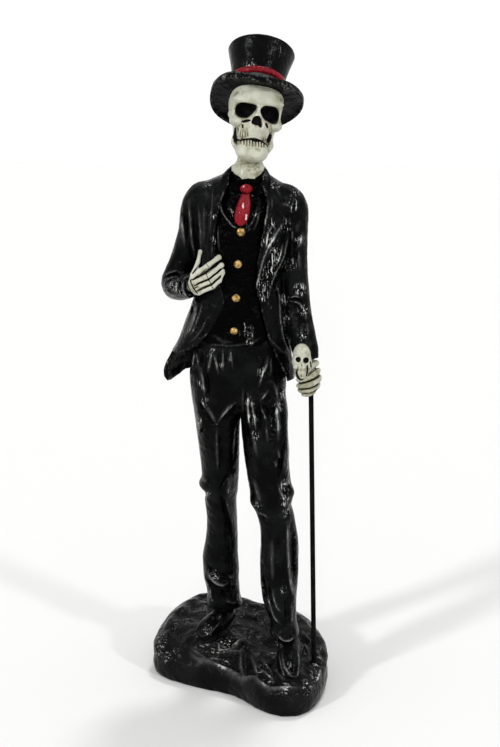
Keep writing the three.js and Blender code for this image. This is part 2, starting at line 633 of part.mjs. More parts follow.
const blackGloss = new THREE.MeshStandardMaterial({
  color: '#17171a', roughness: 0.3, metalness: 0,
});
const blackRod = new THREE.MeshStandardMaterial({
  color: '#1a191a', roughness: 0.45, metalness: 0,
});

function named(name, shape, material) {
  const mesh = new THREE.Mesh(geometryOf(shape), material);
  mesh.name = name;
  return mesh;
}

const statue = new THREE.Group();
statue.add(named('figure', casting, blackGloss), named('cane', cane, blackRod));

export default statue;
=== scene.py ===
import copy
import math

import bpy
import numpy as np
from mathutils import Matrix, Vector
from mathutils.bvhtree import BVHTree


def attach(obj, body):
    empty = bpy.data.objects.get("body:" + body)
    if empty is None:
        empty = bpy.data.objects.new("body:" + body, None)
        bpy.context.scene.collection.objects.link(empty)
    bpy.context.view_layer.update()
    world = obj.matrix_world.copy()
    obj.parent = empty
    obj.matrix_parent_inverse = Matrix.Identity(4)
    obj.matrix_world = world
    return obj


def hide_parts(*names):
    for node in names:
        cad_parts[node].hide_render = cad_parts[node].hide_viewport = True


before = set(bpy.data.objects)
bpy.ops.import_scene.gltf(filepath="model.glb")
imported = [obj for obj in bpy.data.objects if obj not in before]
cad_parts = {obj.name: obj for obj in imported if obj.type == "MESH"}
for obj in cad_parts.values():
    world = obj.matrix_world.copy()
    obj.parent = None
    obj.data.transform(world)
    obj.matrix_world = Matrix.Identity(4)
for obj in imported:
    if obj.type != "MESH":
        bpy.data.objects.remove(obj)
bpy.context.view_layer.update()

COARSE = 1.0
MM_IN_METRE = 1000
F = np.float32                          # number type of the grids


# Frames

FIGURE_TURN = math.radians(12)
FIGURE_SPOT = (-1.5, -8.5, 0)
HEAD_SPOT = (11.2, 2.4, 358.5)
HEAD_ROLL = math.radians(8)
HEAD_TURN = math.radians(5)
BRIM_SPOT = (11.5, 4, 365)
HAT_TILT = math.radians(-31)
HAT_ROLL = math.radians(7.4)


def turned(p, first, second, angle):
    """Points p turned from one axis towards another."""
    c, s = math.cos(angle), math.sin(angle)
    q = np.array(p, float)
    q[:, first] = p[:, first] * c - p[:, second] * s
    q[:, second] = p[:, first] * s + p[:, second] * c
    return q


def about_x(p, angle):
    return turned(p, 1, 2, angle)


def about_y(p, angle):
    return turned(p, 2, 0, angle)


def about_z(p, angle):
    return turned(p, 0, 1, angle)


def on_ground(p):
    return p


def on_figure(p):
    return about_z(p, FIGURE_TURN) + FIGURE_SPOT


def ground_to_figure(p):
    return about_z(p - FIGURE_SPOT, -FIGURE_TURN)


def head_to_figure(p):
    return about_y(about_z(p, HEAD_TURN), HEAD_ROLL) + HEAD_SPOT


def on_head(p):
    return on_figure(head_to_figure(p))


def on_hat(p):
    return on_figure(about_y(about_x(p, HAT_TILT), HAT_ROLL) + BRIM_SPOT)


def figure_to_hat(p):
    return about_x(about_y(p - BRIM_SPOT, -HAT_ROLL), -HAT_TILT)


# Camera: the lens and place that the view was taken with, in the figure frame

PICTURE = (500, 747)
MIDDLE = (PICTURE[0] / 2, PICTURE[1] / 2)
FOCAL_PIXELS = 1267
SENSOR = 36             # millimetres, along the longer side
VIEW_SPOT = np.array([8.0, -756, 375])
VIEW_DOWN = math.radians(13)
VIEW_AHEAD = np.array([0, math.cos(VIEW_DOWN), -math.sin(VIEW_DOWN)])
VIEW_UP = np.array([0, math.sin(VIEW_DOWN), math.cos(VIEW_DOWN)])
VIEW_RIGHT = np.array([1.0, 0, 0])

camera_data = bpy.data.cameras.new("camera")
camera_data.sensor_width = SENSOR
camera_data.lens = SENSOR * FOCAL_PIXELS / max(PICTURE)
camera = bpy.data.objects.new("camera", camera_data)
bpy.context.collection.objects.link(camera)
camera.location = on_figure(VIEW_SPOT[None])[0] / MM_IN_METRE
ahead = Vector(about_z(VIEW_AHEAD[None], FIGURE_TURN)[0])
camera.rotation_euler = ahead.to_track_quat("-Z", "Y").to_euler()
bpy.context.scene.camera = camera


# Sculpting on grids of signed distances, in millimetres

FAR = 50            # distance where no form is near
AHEAD = -70         # y in front of everything
CORNERS = [(a, b, c) for a in (0, 1) for b in (0, 1) for c in (0, 1)]


def grid(step):
    return step * COARSE


def curve_table(stations, count=200):
    """Catmull-Rom values through stations, evenly spaced in station number."""
    s = np.asarray(stations, float)
    n = len(s)
    t = np.linspace(0, n - 1, count)
    i = np.clip(np.floor(t).astype(int), 0, n - 2)
    f = (t - i)[:, None]
    before, after = s[np.clip(i - 1, 0, n - 1)], s[np.clip(i + 2, 0, n - 1)]
    p1, p2 = s[i], s[i + 1]
    m1, m2 = (p2 - before) / 2, (after - p1) / 2
    f2, f3 = f * f, f * f * f
    return ((2 * f3 - 3 * f2 + 1) * p1 + (f3 - 2 * f2 + f) * m1
            + (3 * f2 - 2 * f3) * p2 + (f3 - f2) * m2)


def blend_min(a, b, k):
    """The lesser of a and b, rounded over a width k where they meet."""
    if k <= 0:
        return np.minimum(a, b)
    h = np.clip(0.5 + 0.5 * (b - a) / k, 0, 1)
    return b + (a - b) * h - k * h * (1 - h)


def ease(v, low, high):
    """Rises smoothly from 0 at low to 1 at high."""
    t = np.clip((v - low) / (high - low), 0, 1)
    return t * t * (3 - 2 * t)


def bell(v, middle, half):
    """1 at the middle, falling to nothing some half widths away."""
    return np.exp(-((v - middle) / half) ** 2)


def blend_corners(f, corner):
    """The eight values that corner(a, b, c) gives, blended by the fractions f of each point."""
    out = 0
    for a, b, c in CORNERS:
        weight = ((f[:, 0] if a else 1 - f[:, 0]) * (f[:, 1] if b else 1 - f[:, 1])
                  * (f[:, 2] if c else 1 - f[:, 2]))
        out = out + weight * corner(a, b, c)
    return out


def nearest_on(u, v, a, b):
    """For points u, v: squared distance to the line from a to b, and the share along it."""
    ex, ey = b[0] - a[0], b[1] - a[1]
    t = np.clip(((u - a[0]) * ex + (v - a[1]) * ey) / max(ex * ex + ey * ey, 1e-9), 0, 1)
    return (u - a[0] - t * ex) ** 2 + (v - a[1] - t * ey) ** 2, t


class Clay:
    """A block of signed distances that forms are added to and cut from."""

    def __init__(self, low, high, step):
        self.low = np.asarray(low, float)
        self.step = float(step)
        span = np.asarray(high, float) - self.low
        self.count = (np.ceil(span / step) + 1).astype(int)
        self.axes = [(self.low[k] + step * np.arange(self.count[k])).astype(F) for k in range(3)]
        self.d = np.full(tuple(self.count), FAR, F)

    def spread(self, window=(slice(None),) * 3):
        """x, y and z of the grid, or of a window of it, each along its own axis."""
        x, y, z = (axis[part] for axis, part in zip(self.axes, window))
        return x[:, None, None], y[None, :, None], z[None, None, :]

    def window(self, low, high):
        """The slices of the grid that cover a box."""
        a = np.floor((np.asarray(low) - self.low) / self.step).astype(int)
        b = np.ceil((np.asarray(high) - self.low) / self.step).astype(int) + 1
        a, b = np.clip(a, 0, self.count), np.clip(b, 0, self.count)
        return tuple(slice(i, max(i, j)) for i, j in zip(a, b))

    def put(self, form, soft=0.0, cut=False):
        """form is (low, high, distance function). Adds it, or cuts it away."""
        low, high, distance = form
        pad = 1.6 + soft
        w = self.window(np.asarray(low) - pad, np.asarray(high) + pad)
        if any(s.start >= s.stop for s in w):
            return
        d = np.broadcast_to(distance(*self.spread(w)), self.d[w].shape)
        if cut:
            self.d[w] = -blend_min(-self.d[w], d, soft)
        else:
            self.d[w] = blend_min(self.d[w], d, soft)

    def put_line(self, stations, count, soft, flat=None, squash=1.0):
        """Adds round rods end to end along a line through stations [x, y, z, radius]."""
        for piece in rods(stations, count, flat, squash):
            self.put(piece, soft)

    def alone(self, form):
        """Distances to one form on the same grid."""
        other = copy.copy(self)
        other.d = np.full_like(self.d, FAR)
        other.put(form)
        return other.d

    def keep(self, d):
        """Cuts away what is outside the form with distances d."""
        self.d = np.maximum(self.d, np.asarray(d, F))

    def swell(self, amount):
        """Adds a relief, positive outwards, that broadcasts over the grid."""
        self.d -= np.asarray(amount, F)

    def carve(self, table, share=1, gain=1.0):
        """Adds strokes, seen from the front, by a share that broadcasts over the grid."""
        self.swell(gain * strokes(table, self.axes[0], self.axes[2])[:, None, :] * share)

    def front(self, x, z):
        """The y of the foremost surface at x, z."""
        i = int(round((x - self.low[0]) / self.step))
        k = int(round((z - self.low[2]) / self.step))
        line = self.d[i, :, k]
        j = int(np.argmax(line < 0))
        if line[j] >= 0:
            return float(self.axes[1][-1])
        a, b = line[j - 1], line[j]
        return float(self.axes[1][j - 1] + self.step * a / (a - b))

    def groove(self, stations, count=12, soft=0.2, sink=0.0):
        """Cuts a groove along [x, z, radius] into the front surface."""
        line = [[x, self.front(x, z) + sink, z, r] for x, z, r in curve_table(stations, count)]
        for a, b in zip(line[:-1], line[1:]):
            self.put(rod(a[:3], b[:3], a[3], b[3]), soft, cut=True)

    def sample(self, p):
        """Distances at points p, between those of the grid."""
        q = np.clip((p - self.low) / self.step, 0, self.count - 1.001)
        i = q.astype(int)
        f = (q - i).astype(F)
        i = np.minimum(i, self.count - 2)
        return blend_corners(f, lambda a, b, c: self.d[i[:, 0] + a, i[:, 1] + b, i[:, 2] + c])

    def slope(self, p):
        """Gradients of the distance at points p."""
        h = self.step
        g = [self.sample(p + h * e) - self.sample(p - h * e) for e in np.eye(3)]
        return np.stack(g, 1) / (2 * h)

    def outward(self, p):
        """Unit normals at points near the surface."""
        g = self.slope(p)
        return g / np.maximum(np.linalg.norm(g, axis=1), 1e-3)[:, None]

    def close_sides(self):
        """Keeps the surface off the sides of the block."""
        for axis in range(3):
            side = [slice(None)] * 3
            for end in (0, -1):
                side[axis] = end
                self.d[tuple(side)] = np.maximum(self.d[tuple(side)], self.step)

    def crossed_cells(self, inside):
        """The cells that the surface crosses, and the mean crossing in each."""
        shape = tuple(n - 1 for n in self.d.shape)
        total = np.zeros(shape, np.int8)
        for a, b, c in CORNERS:
            total += inside[a:a + shape[0], b:b + shape[1], c:c + shape[2]]
        cells = np.argwhere((total > 0) & (total < 8))
        values = {k: self.d[tuple((cells + k).T)] for k in CORNERS}
        place = np.zeros((len(cells), 3), float)
        hits = np.zeros(len(cells), float)
        for k in CORNERS:
            for axis in range(3):
                if k[axis]:
                    continue
                other = list(k)
                other[axis] = 1
                v0, v1 = values[k], values[tuple(other)]
                crossed = (v0 < 0) != (v1 < 0)
                t = np.where(crossed, v0 / np.where(crossed, v0 - v1, 1), 0)
                point = np.tile(np.asarray(k, float), (len(cells), 1))
                point[:, axis] += t
                place += np.where(crossed[:, None], point, 0)
                hits += crossed
        return cells, self.low + self.step * (cells + place / hits[:, None])

    def edge_quads(self, inside, cells, axis):
        """A quad round each grid edge along the axis that the surface crosses."""
        number = np.full(tuple(n - 1 for n in self.d.shape), -1, np.int32)
        number[tuple(cells.T)] = np.arange(len(cells))
        u, v = (axis + 1) % 3, (axis + 2) % 3
        first = [slice(None)] * 3
        second = [slice(None)] * 3
        first[axis], second[axis] = slice(0, -1), slice(1, None)
        e = np.argwhere(inside[tuple(first)] != inside[tuple(second)])
        e = e[(e[:, u] > 0) & (e[:, v] > 0)]
        around = []
        for du, dv in ((-1, -1), (0, -1), (0, 0), (-1, 0)):
            c = e.copy()
            c[:, u] += du
            c[:, v] += dv
            around.append(number[tuple(c.T)])
        quads = np.stack(around, 1)
        outward = ~inside[tuple(e.T)]
        quads[outward] = quads[outward][:, ::-1]
        return quads[(quads >= 0).all(1)]

    def mesh(self):
        """Surface nets: one vertex in each cell that the surface crosses, one quad for each edge."""
        self.close_sides()
        inside = self.d < 0
        cells, points = self.crossed_cells(inside)
        quads = np.concatenate([self.edge_quads(inside, cells, axis) for axis in range(3)])
        for step in range(2):
            g = self.slope(points)
            size = np.maximum((g * g).sum(1), 0.05)
            move = (self.sample(points) / size)[:, None] * g
            points = points - np.clip(move, -self.step / 2, self.step / 2)
        return points, quads


# Forms: (lowest corner, highest corner, distance function)

def egg(centre, radii):
    """Ellipsoid."""
    c, r = np.asarray(centre, float), np.asarray(radii, float)

    def distance(x, y, z):
        a, b, e = (x - c[0]) / r[0], (y - c[1]) / r[1], (z - c[2]) / r[2]
        k0 = np.sqrt(a * a + b * b + e * e)
        k1 = np.sqrt((a / r[0]) ** 2 + (b / r[1]) ** 2 + (e / r[2]) ** 2)
        return (k0 * (k0 - 1) / np.maximum(k1, 1e-6)).astype(F)
    return c - r, c + r, distance


def rod(a, b, ra, rb=None, flat=None, squash=1.0):
    """Tapered rod with round ends; flat is the direction it is squashed along."""
    a, b = np.asarray(a, float), np.asarray(b, float)
    rb = ra if rb is None else rb
    way = b - a
    length2 = max(float(way @ way), 1e-9)
    n = None if flat is None else np.asarray(flat, float) / np.linalg.norm(flat)

    def distance(x, y, z):
        px, py, pz = x - a[0], y - a[1], z - a[2]
        t = np.clip((px * way[0] + py * way[1] + pz * way[2]) / length2, 0, 1)
        vx, vy, vz = px - t * way[0], py - t * way[1], pz - t * way[2]
        if n is not None:
            more = (vx * n[0] + vy * n[1] + vz * n[2]) * (1 / squash - 1)
            vx, vy, vz = vx + more * n[0], vy + more * n[1], vz + more * n[2]
        return (np.sqrt(vx * vx + vy * vy + vz * vz) - (ra + t * (rb - ra))).astype(F)
    big = max(ra, rb)
    return np.minimum(a, b) - big, np.maximum(a, b) + big, distance


def rods(stations, count=16, flat=None, squash=1.0):
    """Round rods end to end along a smooth line through stations [x, y, z, radius]."""
    t = curve_table(stations, count)
    return [rod(p[:3], q[:3], p[3], q[3], flat, squash) for p, q in zip(t[:-1], t[1:])]


def area_distance(outline, u, v):
    """Signed distance from points u, v to a closed outline; negative inside."""
    o = np.asarray(outline, float)
    u, v = np.broadcast_arrays(np.asarray(u, float), np.asarray(v, float))
    best = np.full(u.shape, 1e9)
    inside = np.zeros(u.shape, bool)
    for a, b in zip(o, np.roll(o, -1, 0)):
        best = np.minimum(best, nearest_on(u, v, a, b)[0])
        if a[1] != b[1]:
            beside = u < (b[0] - a[0]) * (v - a[1]) / (b[1] - a[1]) + a[0]
            inside ^= ((a[1] > v) != (b[1] > v)) & beside
    return np.where(inside, -1, 1) * np.sqrt(best)


def softened(outline, per_side=3):
    """A closed outline rounded by a smooth curve through its points."""
    o = np.asarray(outline, float)
    n = len(o)
    wrapped = o[np.arange(-2, n + 3) % n]
    t = curve_table(wrapped, (len(wrapped) - 1) * per_side + 1)
    return t[2 * per_side:(n + 2) * per_side]


def slab(outline, far, grow=0.0):
    """Prism with an outline [x, z] as seen from the front, from y = AHEAD back to y = far."""
    o = np.asarray(outline, float)

    def distance(x, y, z):
        flat = area_distance(o, x, z).astype(F) - F(grow)
        return np.maximum(np.maximum(flat, y - far), AHEAD - y)
    low, high = o.min(0) - grow, o.max(0) + grow
    return (low[0], AHEAD, low[1]), (high[0], far, high[1]), distance


def column(stations, power=2.0, grow=0.0, fold=None, caps=True):
    """Upright form through stations [height, x, y, half width, half depth]."""
    t = curve_table(stations, 300)
    reach = 3 + grow
    low = [(t[:, 1] - t[:, 3]).min() - reach, (t[:, 2] - t[:, 4]).min() - reach, t[0, 0]]
    high = [(t[:, 1] + t[:, 3]).max() + reach, (t[:, 2] + t[:, 4]).max() + reach, t[-1, 0]]

    def distance(x, y, z):
        cx, cy, rx, ry = (np.interp(z, t[:, 0], t[:, k]).astype(F) for k in (1, 2, 3, 4))
        dx, dy = x - cx, y - cy
        out = grow
        if fold is not None:
            out = grow + fold(np.arctan2(dy / ry, dx / rx), z)
        u, v = np.abs(dx / (rx + out)), np.abs(dy / (ry + out))
        f = np.maximum((u ** power + v ** power) ** (1 / power), 1e-3)
        d = np.sqrt(dx * dx + dy * dy) * (1 - 1 / f)
        if caps:
            d = np.maximum(d, np.maximum(t[0, 0] - z, z - t[-1, 0]))
        return d.astype(F)
    return low, high, distance


def folds(table):
    """Folds [degrees round, height, half height, half width in radians, rise, drift]."""
    def out(angle, z):
        total = 0
        for degrees, height, tall, wide, rise, drift in table:
            off = angle - np.radians(degrees + drift * (z - height))
            off = np.arctan2(np.sin(off), np.cos(off))
            total = total + rise * np.exp(-((z - height) / tall) ** 2 - (off / wide) ** 2)
        return total
    return out


def strokes(table, u, v):
    """Relief over a grid of u by v from strokes (rise, half width, taper, [points])."""
    u, v = np.asarray(u, float), np.asarray(v, float)
    relief = np.zeros((len(u), len(v)))
    for rise, wide, taper, points in table:
        p = np.asarray(points, float)
        if len(p) > 2:
            p = curve_table(p, 4 * len(p))
        reach = 2.6 * wide
        i0, i1 = np.searchsorted(u, (p[:, 0].min() - reach, p[:, 0].max() + reach))
        j0, j1 = np.searchsorted(v, (p[:, 1].min() - reach, p[:, 1].max() + reach))
        if i0 >= i1 or j0 >= j1:
            continue
        walked = np.concatenate([[0], np.cumsum(np.hypot(*np.diff(p, axis=0).T))])
        best = np.full((i1 - i0, j1 - j0), 1e9)
        along = np.zeros_like(best)
        for k, (a, b) in enumerate(zip(p[:-1], p[1:])):
            d2, t = nearest_on(u[i0:i1, None], v[None, j0:j1], a, b)
            near = d2 < best
            best = np.where(near, d2, best)
            along = np.where(near, walked[k] + t * (walked[k + 1] - walked[k]), along)
        ends = np.minimum(along, walked[-1] - along) / max(taper * walked[-1], 1e-6)
        width = wide * (0.55 + 0.45 * np.clip(ends, 0, 1))
        relief[i0:i1, j0:j1] += (rise * np.exp(-best / width ** 2)
                                 * (0.25 + 0.75 * ease(ends, 0, 1)))
    return relief.astype(F)


def lumps(p, size, seed):
    """Smooth random values between about -1 and 1 at points p, with features of that size."""
    side = 32
    rng = np.random.default_rng(seed)
    lattice = rng.uniform(-1, 1, (side,) * 3)
    q = p / size + rng.uniform(0, side, 3)
    i = np.floor(q).astype(int)
    f = q - i
    f = f * f * (3 - 2 * f)
    return blend_corners(f, lambda a, b, c: lattice[tuple(((i + (a, b, c)) % side).T)])


def facets(p, size, seed):
    """A rough, broken face at points p: the level of the nearest cell, and the gap to the next."""
    side = 16
    rng = np.random.default_rng(seed)
    cell = np.floor(p / size).astype(int)
    table = rng.uniform(-0.5, 0.5, (side, side, side, 4))
    best = np.full(len(p), 1e9)
    second = np.full(len(p), 1e9)
    level = np.zeros(len(p))
    for a, b, c in [(a, b, c) for a in (-1, 0, 1) for b in (-1, 0, 1) for c in (-1, 0, 1)]:
        k = cell + (a, b, c)
        t = table[tuple((k % side).T)]
        d = np.linalg.norm((k + 0.5 + 0.9 * t[:, :3]) * size - p, axis=1)
        near = d < best
        second = np.where(near, best, np.minimum(second, d))
        level = np.where(near, t[:, 3], level)
        best = np.where(near, d, best)
    return level * 2, np.clip((second - best) / size, 0, 1)


# Marks traced over the view, in its pixels, and laid on the solid figure. A traced stroke is
# (rise, half width, taper, [pixels]), a patch is [u, v, radius in pixels, amount]. Raised strokes
# carry painted highlight lines, and patches carry a flaky surface with painted glints.

PIXEL_SIZE = 0.62   # millimetres, as taken for the radius of a patch
JUMP = 14           # a step in depth that a stroke doesn't follow
NEARBY = [(0, 0)] + [(a * d, b * d) for d in (2, 4, 6, 8)
                     for a, b in ((1, 0), (-1, 0), (0, 1), (0, -1))]


def solid_figure():
    """The solid figure of the frame as a search tree, in the figure frame."""
    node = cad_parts["figure"]
    points = np.array([node.matrix_world @ v.co for v in node.data.vertices]) * MM_IN_METRE
    return BVHTree.FromPolygons(ground_to_figure(points).tolist(),
                                [tuple(face.vertices) for face in node.data.polygons])


SOLID = solid_figure()


def view_ray(u, v):
    """Direction of the view through pixel u, v."""
    d = FOCAL_PIXELS * VIEW_AHEAD + (u - MIDDLE[0]) * VIEW_RIGHT - (v - MIDDLE[1]) * VIEW_UP
    return d / np.linalg.norm(d)


def seen(u, v):
    """The point of the solid figure that shows at pixel u, v, or None."""
    point = SOLID.ray_cast(Vector(VIEW_SPOT), Vector(view_ray(u, v)))[0]
    return None if point is None else np.array(point)


def seen_near(u, v):
    """The same, for a pixel that may lie just beside the solid."""
    found = (seen(u + du, v + dv) for du, dv in NEARBY)
    return next(point for point in found if point is not None)


def at_depth(u, v, y):
    """The point at depth y on the view through pixel u, v."""
    ray = view_ray(u, v)
    return VIEW_SPOT + ray * (y - VIEW_SPOT[1]) / ray[1]


def tenths(p):
    return [round(float(number), 1) for number in p]


def laid_strokes(traces, jump=JUMP, frame_of=None, axes=(0, 2)):
    """Traced strokes on the solid; a point beside it stays at the depth of the one before."""
    table = []
    for rise, wide, taper, pixels in traces:
        line = []
        last = None
        for u, v in pixels:
            p = seen(u, v)
            if last is not None and (p is None or abs(p[1] - last[1]) > jump):
                p = at_depth(u, v, last[1])
            if p is None:
                continue
            last = p
            shown = p if frame_of is None else frame_of(p[None])[0]
            line.append(tenths(shown[list(axes)]))
        table.append((rise, wide, taper, line))
    return table


def laid_spots(traces, frame_of=None):
    """Traced patches as balls [x, y, z, radius, amount] on the solid."""
    table = []
    for u, v, radius, amount in traces:
        p = seen_near(u, v)
        shown = p if frame_of is None else frame_of(p[None])[0]
        table.append(tenths(shown) + [round(radius * PIXEL_SIZE, 1), amount])
    return table


# Fired pieces: a clay becomes a mesh with marks of its hollows and ridges

PIECES = []
FLAKE_SIZE = 2.2
CREST_LEAST = 0.25      # strokes that rise less have no light line


def spotted(spots, p):
    """Share of each point inside soft balls [x, y, z, radius, amount]."""
    total = np.zeros(len(p))
    for x, y, z, radius, amount in spots:
        off = np.sqrt((p[:, 0] - x) ** 2 + 0.35 * (p[:, 1] - y) ** 2 + (p[:, 2] - z) ** 2) / radius
        total = np.maximum(total, amount * (1 - ease(off, 0.35, 1.15)))
    return total


def crests(table, p, n, axes, step=0.35):
    """Share of each point on the raised strokes of a table, on their carved side, where painted
    highlight lines go.
    """
    from_above = axes == (0, 1)
    slim = 0.45 if from_above else 0.66
    raised = [(rise * min(1, 0.9 / wide), slim * wide, taper, line)
              for rise, wide, taper, line in table if rise > CREST_LEAST]
    a, b = p[:, axes[0]], p[:, axes[1]]
    u = np.arange(a.min(), a.max() + step, step)
    v = np.arange(b.min(), b.max() + step, step)
    field = strokes(raised, u, v)
    i = np.clip(((a - u[0]) / step + 0.5).astype(int), 0, len(u) - 1)
    j = np.clip(((b - v[0]) / step + 0.5).astype(int), 0, len(v) - 1)
    facing = ease(n[:, 2], 0.1, 0.4) if from_above else 1 - ease(n[:, 1], -0.3, 0.1)
    return np.clip(1.25 * field[i, j], 0, 1) * facing


def inked(lines, p, share=1.15):
    """Ink along lines of [x, z, radius] on the front view."""
    total = np.zeros(len(p))
    for line in lines:
        t = curve_table(line, 6 * len(line))
        for a, b in zip(t[:-1], t[1:]):
            d2, k = nearest_on(p[:, 0], p[:, 2], a, b)
            width = share * (a[2] + k * (b[2] - a[2]))
            total = np.maximum(total, 1 - ease(np.sqrt(d2) / width, 0.5, 1.3))
    return total


def quad_object(name, points, quads):
    mesh = bpy.data.meshes.new(name)
    mesh.vertices.add(len(points))
    mesh.vertices.foreach_set("co", points.astype(F).ravel())
    mesh.loops.add(4 * len(quads))
    mesh.loops.foreach_set("vertex_index", quads.astype(np.int32).ravel())
    mesh.polygons.add(len(quads))
    mesh.polygons.foreach_set("loop_start", np.arange(0, 4 * len(quads), 4, dtype=np.int32))
    mesh.polygons.foreach_set("loop_total", np.full(len(quads), 4, np.int32))
    mesh.update(calc_edges=True)
    mesh.validate()
    piece = bpy.data.objects.new(name, mesh)
    bpy.context.collection.objects.link(piece)
    return piece


def thin(piece, share):
    """Keeps a share of the triangles, fewest where the surface is flat."""
    modifier = piece.modifiers.new("thin", "DECIMATE")
    modifier.ratio = share
    evaluated = piece.evaluated_get(bpy.context.evaluated_depsgraph_get())
    mesh = bpy.data.meshes.new_from_object(evaluated)
    piece.modifiers.clear()
    piece.data = mesh


def fire(name, clay, place, material, triangles, rough=0.1, grain=3.0, seed=1, ink=None, reach=1.1,
         spots=(), flake=0.0, lines=(), axes=(0, 2)):
    """Meshes a clay, with uneven waves and flakes, and stores its marks for the paint."""
    points, quads = clay.mesh()
    n = clay.outward(points)
    wobble = 0.6 * lumps(points, grain, seed) + 0.4 * lumps(points, grain * 0.45, seed + 1)
    points = points + n * (rough * wobble)[:, None]
    if flake:
        level, gap = facets(points, FLAKE_SIZE, seed + 3)
        points = points + n * (flake * spotted(spots, points) * level * ease(gap, 0, 0.6))[:, None]
    piece = quad_object(name, points, quads)
    share = triangles / COARSE / (2 * len(quads))
    if share < 1:
        thin(piece, share)
    mesh = piece.data
    flat = np.empty(3 * len(mesh.vertices), F)
    mesh.vertices.foreach_get("co", flat)
    p = flat.reshape(-1, 3).astype(float)
    n = clay.outward(p)
    here = clay.sample(p)
    marks = {
        "hollow": np.clip((reach - (clay.sample(p + reach * n) - here)) / reach, 0, 1),
        "ridge": np.clip((reach - (here - clay.sample(p - reach * n))) / reach, 0, 1),
        "ink": np.zeros(len(p)) if ink is None else np.clip(ink(p), 0, 1),
        "spot": spotted(spots, p),
        "highlight_crest": crests(lines, p, n, axes),
    }
    for label, values in marks.items():
        layer = mesh.attributes.new(label, "FLOAT", "POINT")
        layer.data.foreach_set("value", values.astype(F))
    mesh.vertices.foreach_set("co", (place(p) / MM_IN_METRE).astype(F).ravel())
    mesh.polygons.foreach_set("use_smooth", np.ones(len(mesh.polygons), bool))
    mesh.materials.append(material)
    mesh.update()
    PIECES.append(piece)


# Ground. In the tables from here on, a column has stations [height, x, y, half width, half
# depth], a line of rods has [x, y, z, radius] and an outline has [x, z] as seen from the front.

RIM_FRONT = 16          # height of the rim at the front
RIM_RISE = 11.5         # and how much higher it is at the back
RIM_WIDTH = 7.0         # rounding of the rim
UNDERSIDE = 0.36
# Each hump is (x, y, half width, half depth, rise)
HUMPS = [(-12, -6, 20, 18, 8.5), (40, -34, 16, 18, 4), (-42, -4, 9, 12, 2.5), (-19, -15, 15, 10, 6)]

GROUND_OUTLINE = [
    [-56.5, -13.5], [-47.5, -23.5], [-30.5, -31.2], [-16.5, -34.6], [-1.5, -38], [8.5, -43.5],
    [18.5, -51.5], [29.5, -57.6], [39.5, -58.8], [49, -54.8], [56, -41.5], [58.5, -18.5],
    [55.5, 1.5], [47.5, 18.5], [37.5, 33.5], [27.5, 41.5], [15.5, 44.5], [2.5, 48.5],
    [-10.5, 55.5], [-28.5, 58.5], [-42.5, 53.5], [-50.5, 41.5], [-55.5, 21.5], [-57.5, 1.5],
]

GROUND_TRACES = [
    (1.6, 1.6, 0.1, [(190, 650), (197, 658), (205, 661), (213, 663), (222, 667), (232, 671), (241, 676),
        (247, 677), (254, 677), (260, 682), (266, 687), (272, 690), (283, 690), (293, 690),
        (300, 688)]),
    (-1.2, 1.4, 0.2, [(200, 640), (208, 643), (217, 642), (228, 645), (240, 640)]),
    (1.3, 1.3, 0.2, [(198, 643), (206, 646), (218, 645), (219, 651), (224, 652), (233, 650), (240, 643),
        (244, 639)]),
    (1, 1.2, 0.2, [(191, 647), (199, 652), (207, 657), (216, 657), (226, 658)]),
    (-1, 1.3, 0.3, [(205, 652), (214, 654), (222, 655), (233, 655), (240, 650)]),
    (1.2, 1, 0.3, [(230, 648), (236, 645), (241, 642)]),
    (1, 1, 0.4, [(222, 651), (228, 653), (236, 652), (245, 649)]),
    (-1.2, 1.6, 0.2, [(247, 648), (245, 660), (247, 674)]),
    (1, 1.4, 0.2, [(241, 654), (241, 665), (243, 674)]),
    (1.1, 1.4, 0.2, [(252, 655), (254, 666), (258, 676)]),
    (-0.8, 1, 0.3, [(256, 658), (261, 666), (266, 676)]),
    (0.8, 1, 0.3, [(262, 660), (268, 668), (274, 678)]),
    (1, 1, 0.3, [(258, 668), (264, 672), (270, 677), (276, 681)]),
    (-1, 1, 0.2, [(270, 662), (275, 670), (281, 678), (289, 683)]),
    (1, 1, 0.2, [(274, 668), (279, 674), (284, 679)]),
    (0.8, 1, 0.3, [(296, 678), (301, 673), (303, 664)]),
    (-1, 1.2, 0.3, [(176, 631), (181, 638), (186, 646)]),
    (1, 1.6, 0.3, [(165, 628), (170, 620), (175, 613)]),
    (-1, 1.2, 0.3, [(171, 634), (177, 626), (183, 620)]),
    (1, 1.4, 0.3, [(180, 622), (188, 620), (196, 622)]),
    (-0.9, 1.2, 0.3, [(193, 600), (193, 607), (189, 612)]),
    (0.8, 1.4, 0.3, [(199, 612), (205, 607), (211, 604)]),
    (1, 1.6, 0.3, [(252, 617), (258, 614), (266, 611)]),
    (-0.8, 1.2, 0.3, [(250, 620), (258, 619), (266, 614)]),
    (0.8, 1.3, 0.3, [(247, 604), (255, 606), (264, 608)]), (1, 1.2, 0.5, [(158, 640), (161, 646)]),
    (1, 0.9, 0.5, [(164, 655), (166, 660)]), (-1, 0.9, 0.5, [(162, 650), (164, 655)]),
    (0.9, 0.9, 0.5, [(159, 651), (161, 656)]), (-1, 1.6, 0.5, [(169, 648), (174, 652)]),
    (0.7, 1, 0.5, [(177, 652), (182, 656)]), (-0.9, 1, 0.2, [(300, 636), (305, 642), (311, 650)]),
    (0.9, 1, 0.2, [(299, 641), (304, 648), (310, 656)]),
    (1, 1.1, 0.3, [(301, 630), (307, 638), (312, 643)]),
    (0.8, 1.2, 0.3, [(315, 650), (319, 656), (323, 662)]),
    (1, 1, 0.4, [(313, 663), (317, 665), (320, 668)]),
    (1.1, 1, 0.3, [(321, 668), (319, 676), (316, 682)]), (-0.8, 1, 0.4, [(316, 662), (319, 665)]),
    (0.9, 0.9, 0.4, [(302, 684), (306, 681), (310, 682)]), (-0.8, 0.9, 0.4, [(304, 688), (309, 690)]),
    (0.9, 0.9, 0.4, [(308, 691), (313, 688)]), (0.7, 1, 0.4, [(300, 616), (306, 622), (311, 630)]),
]

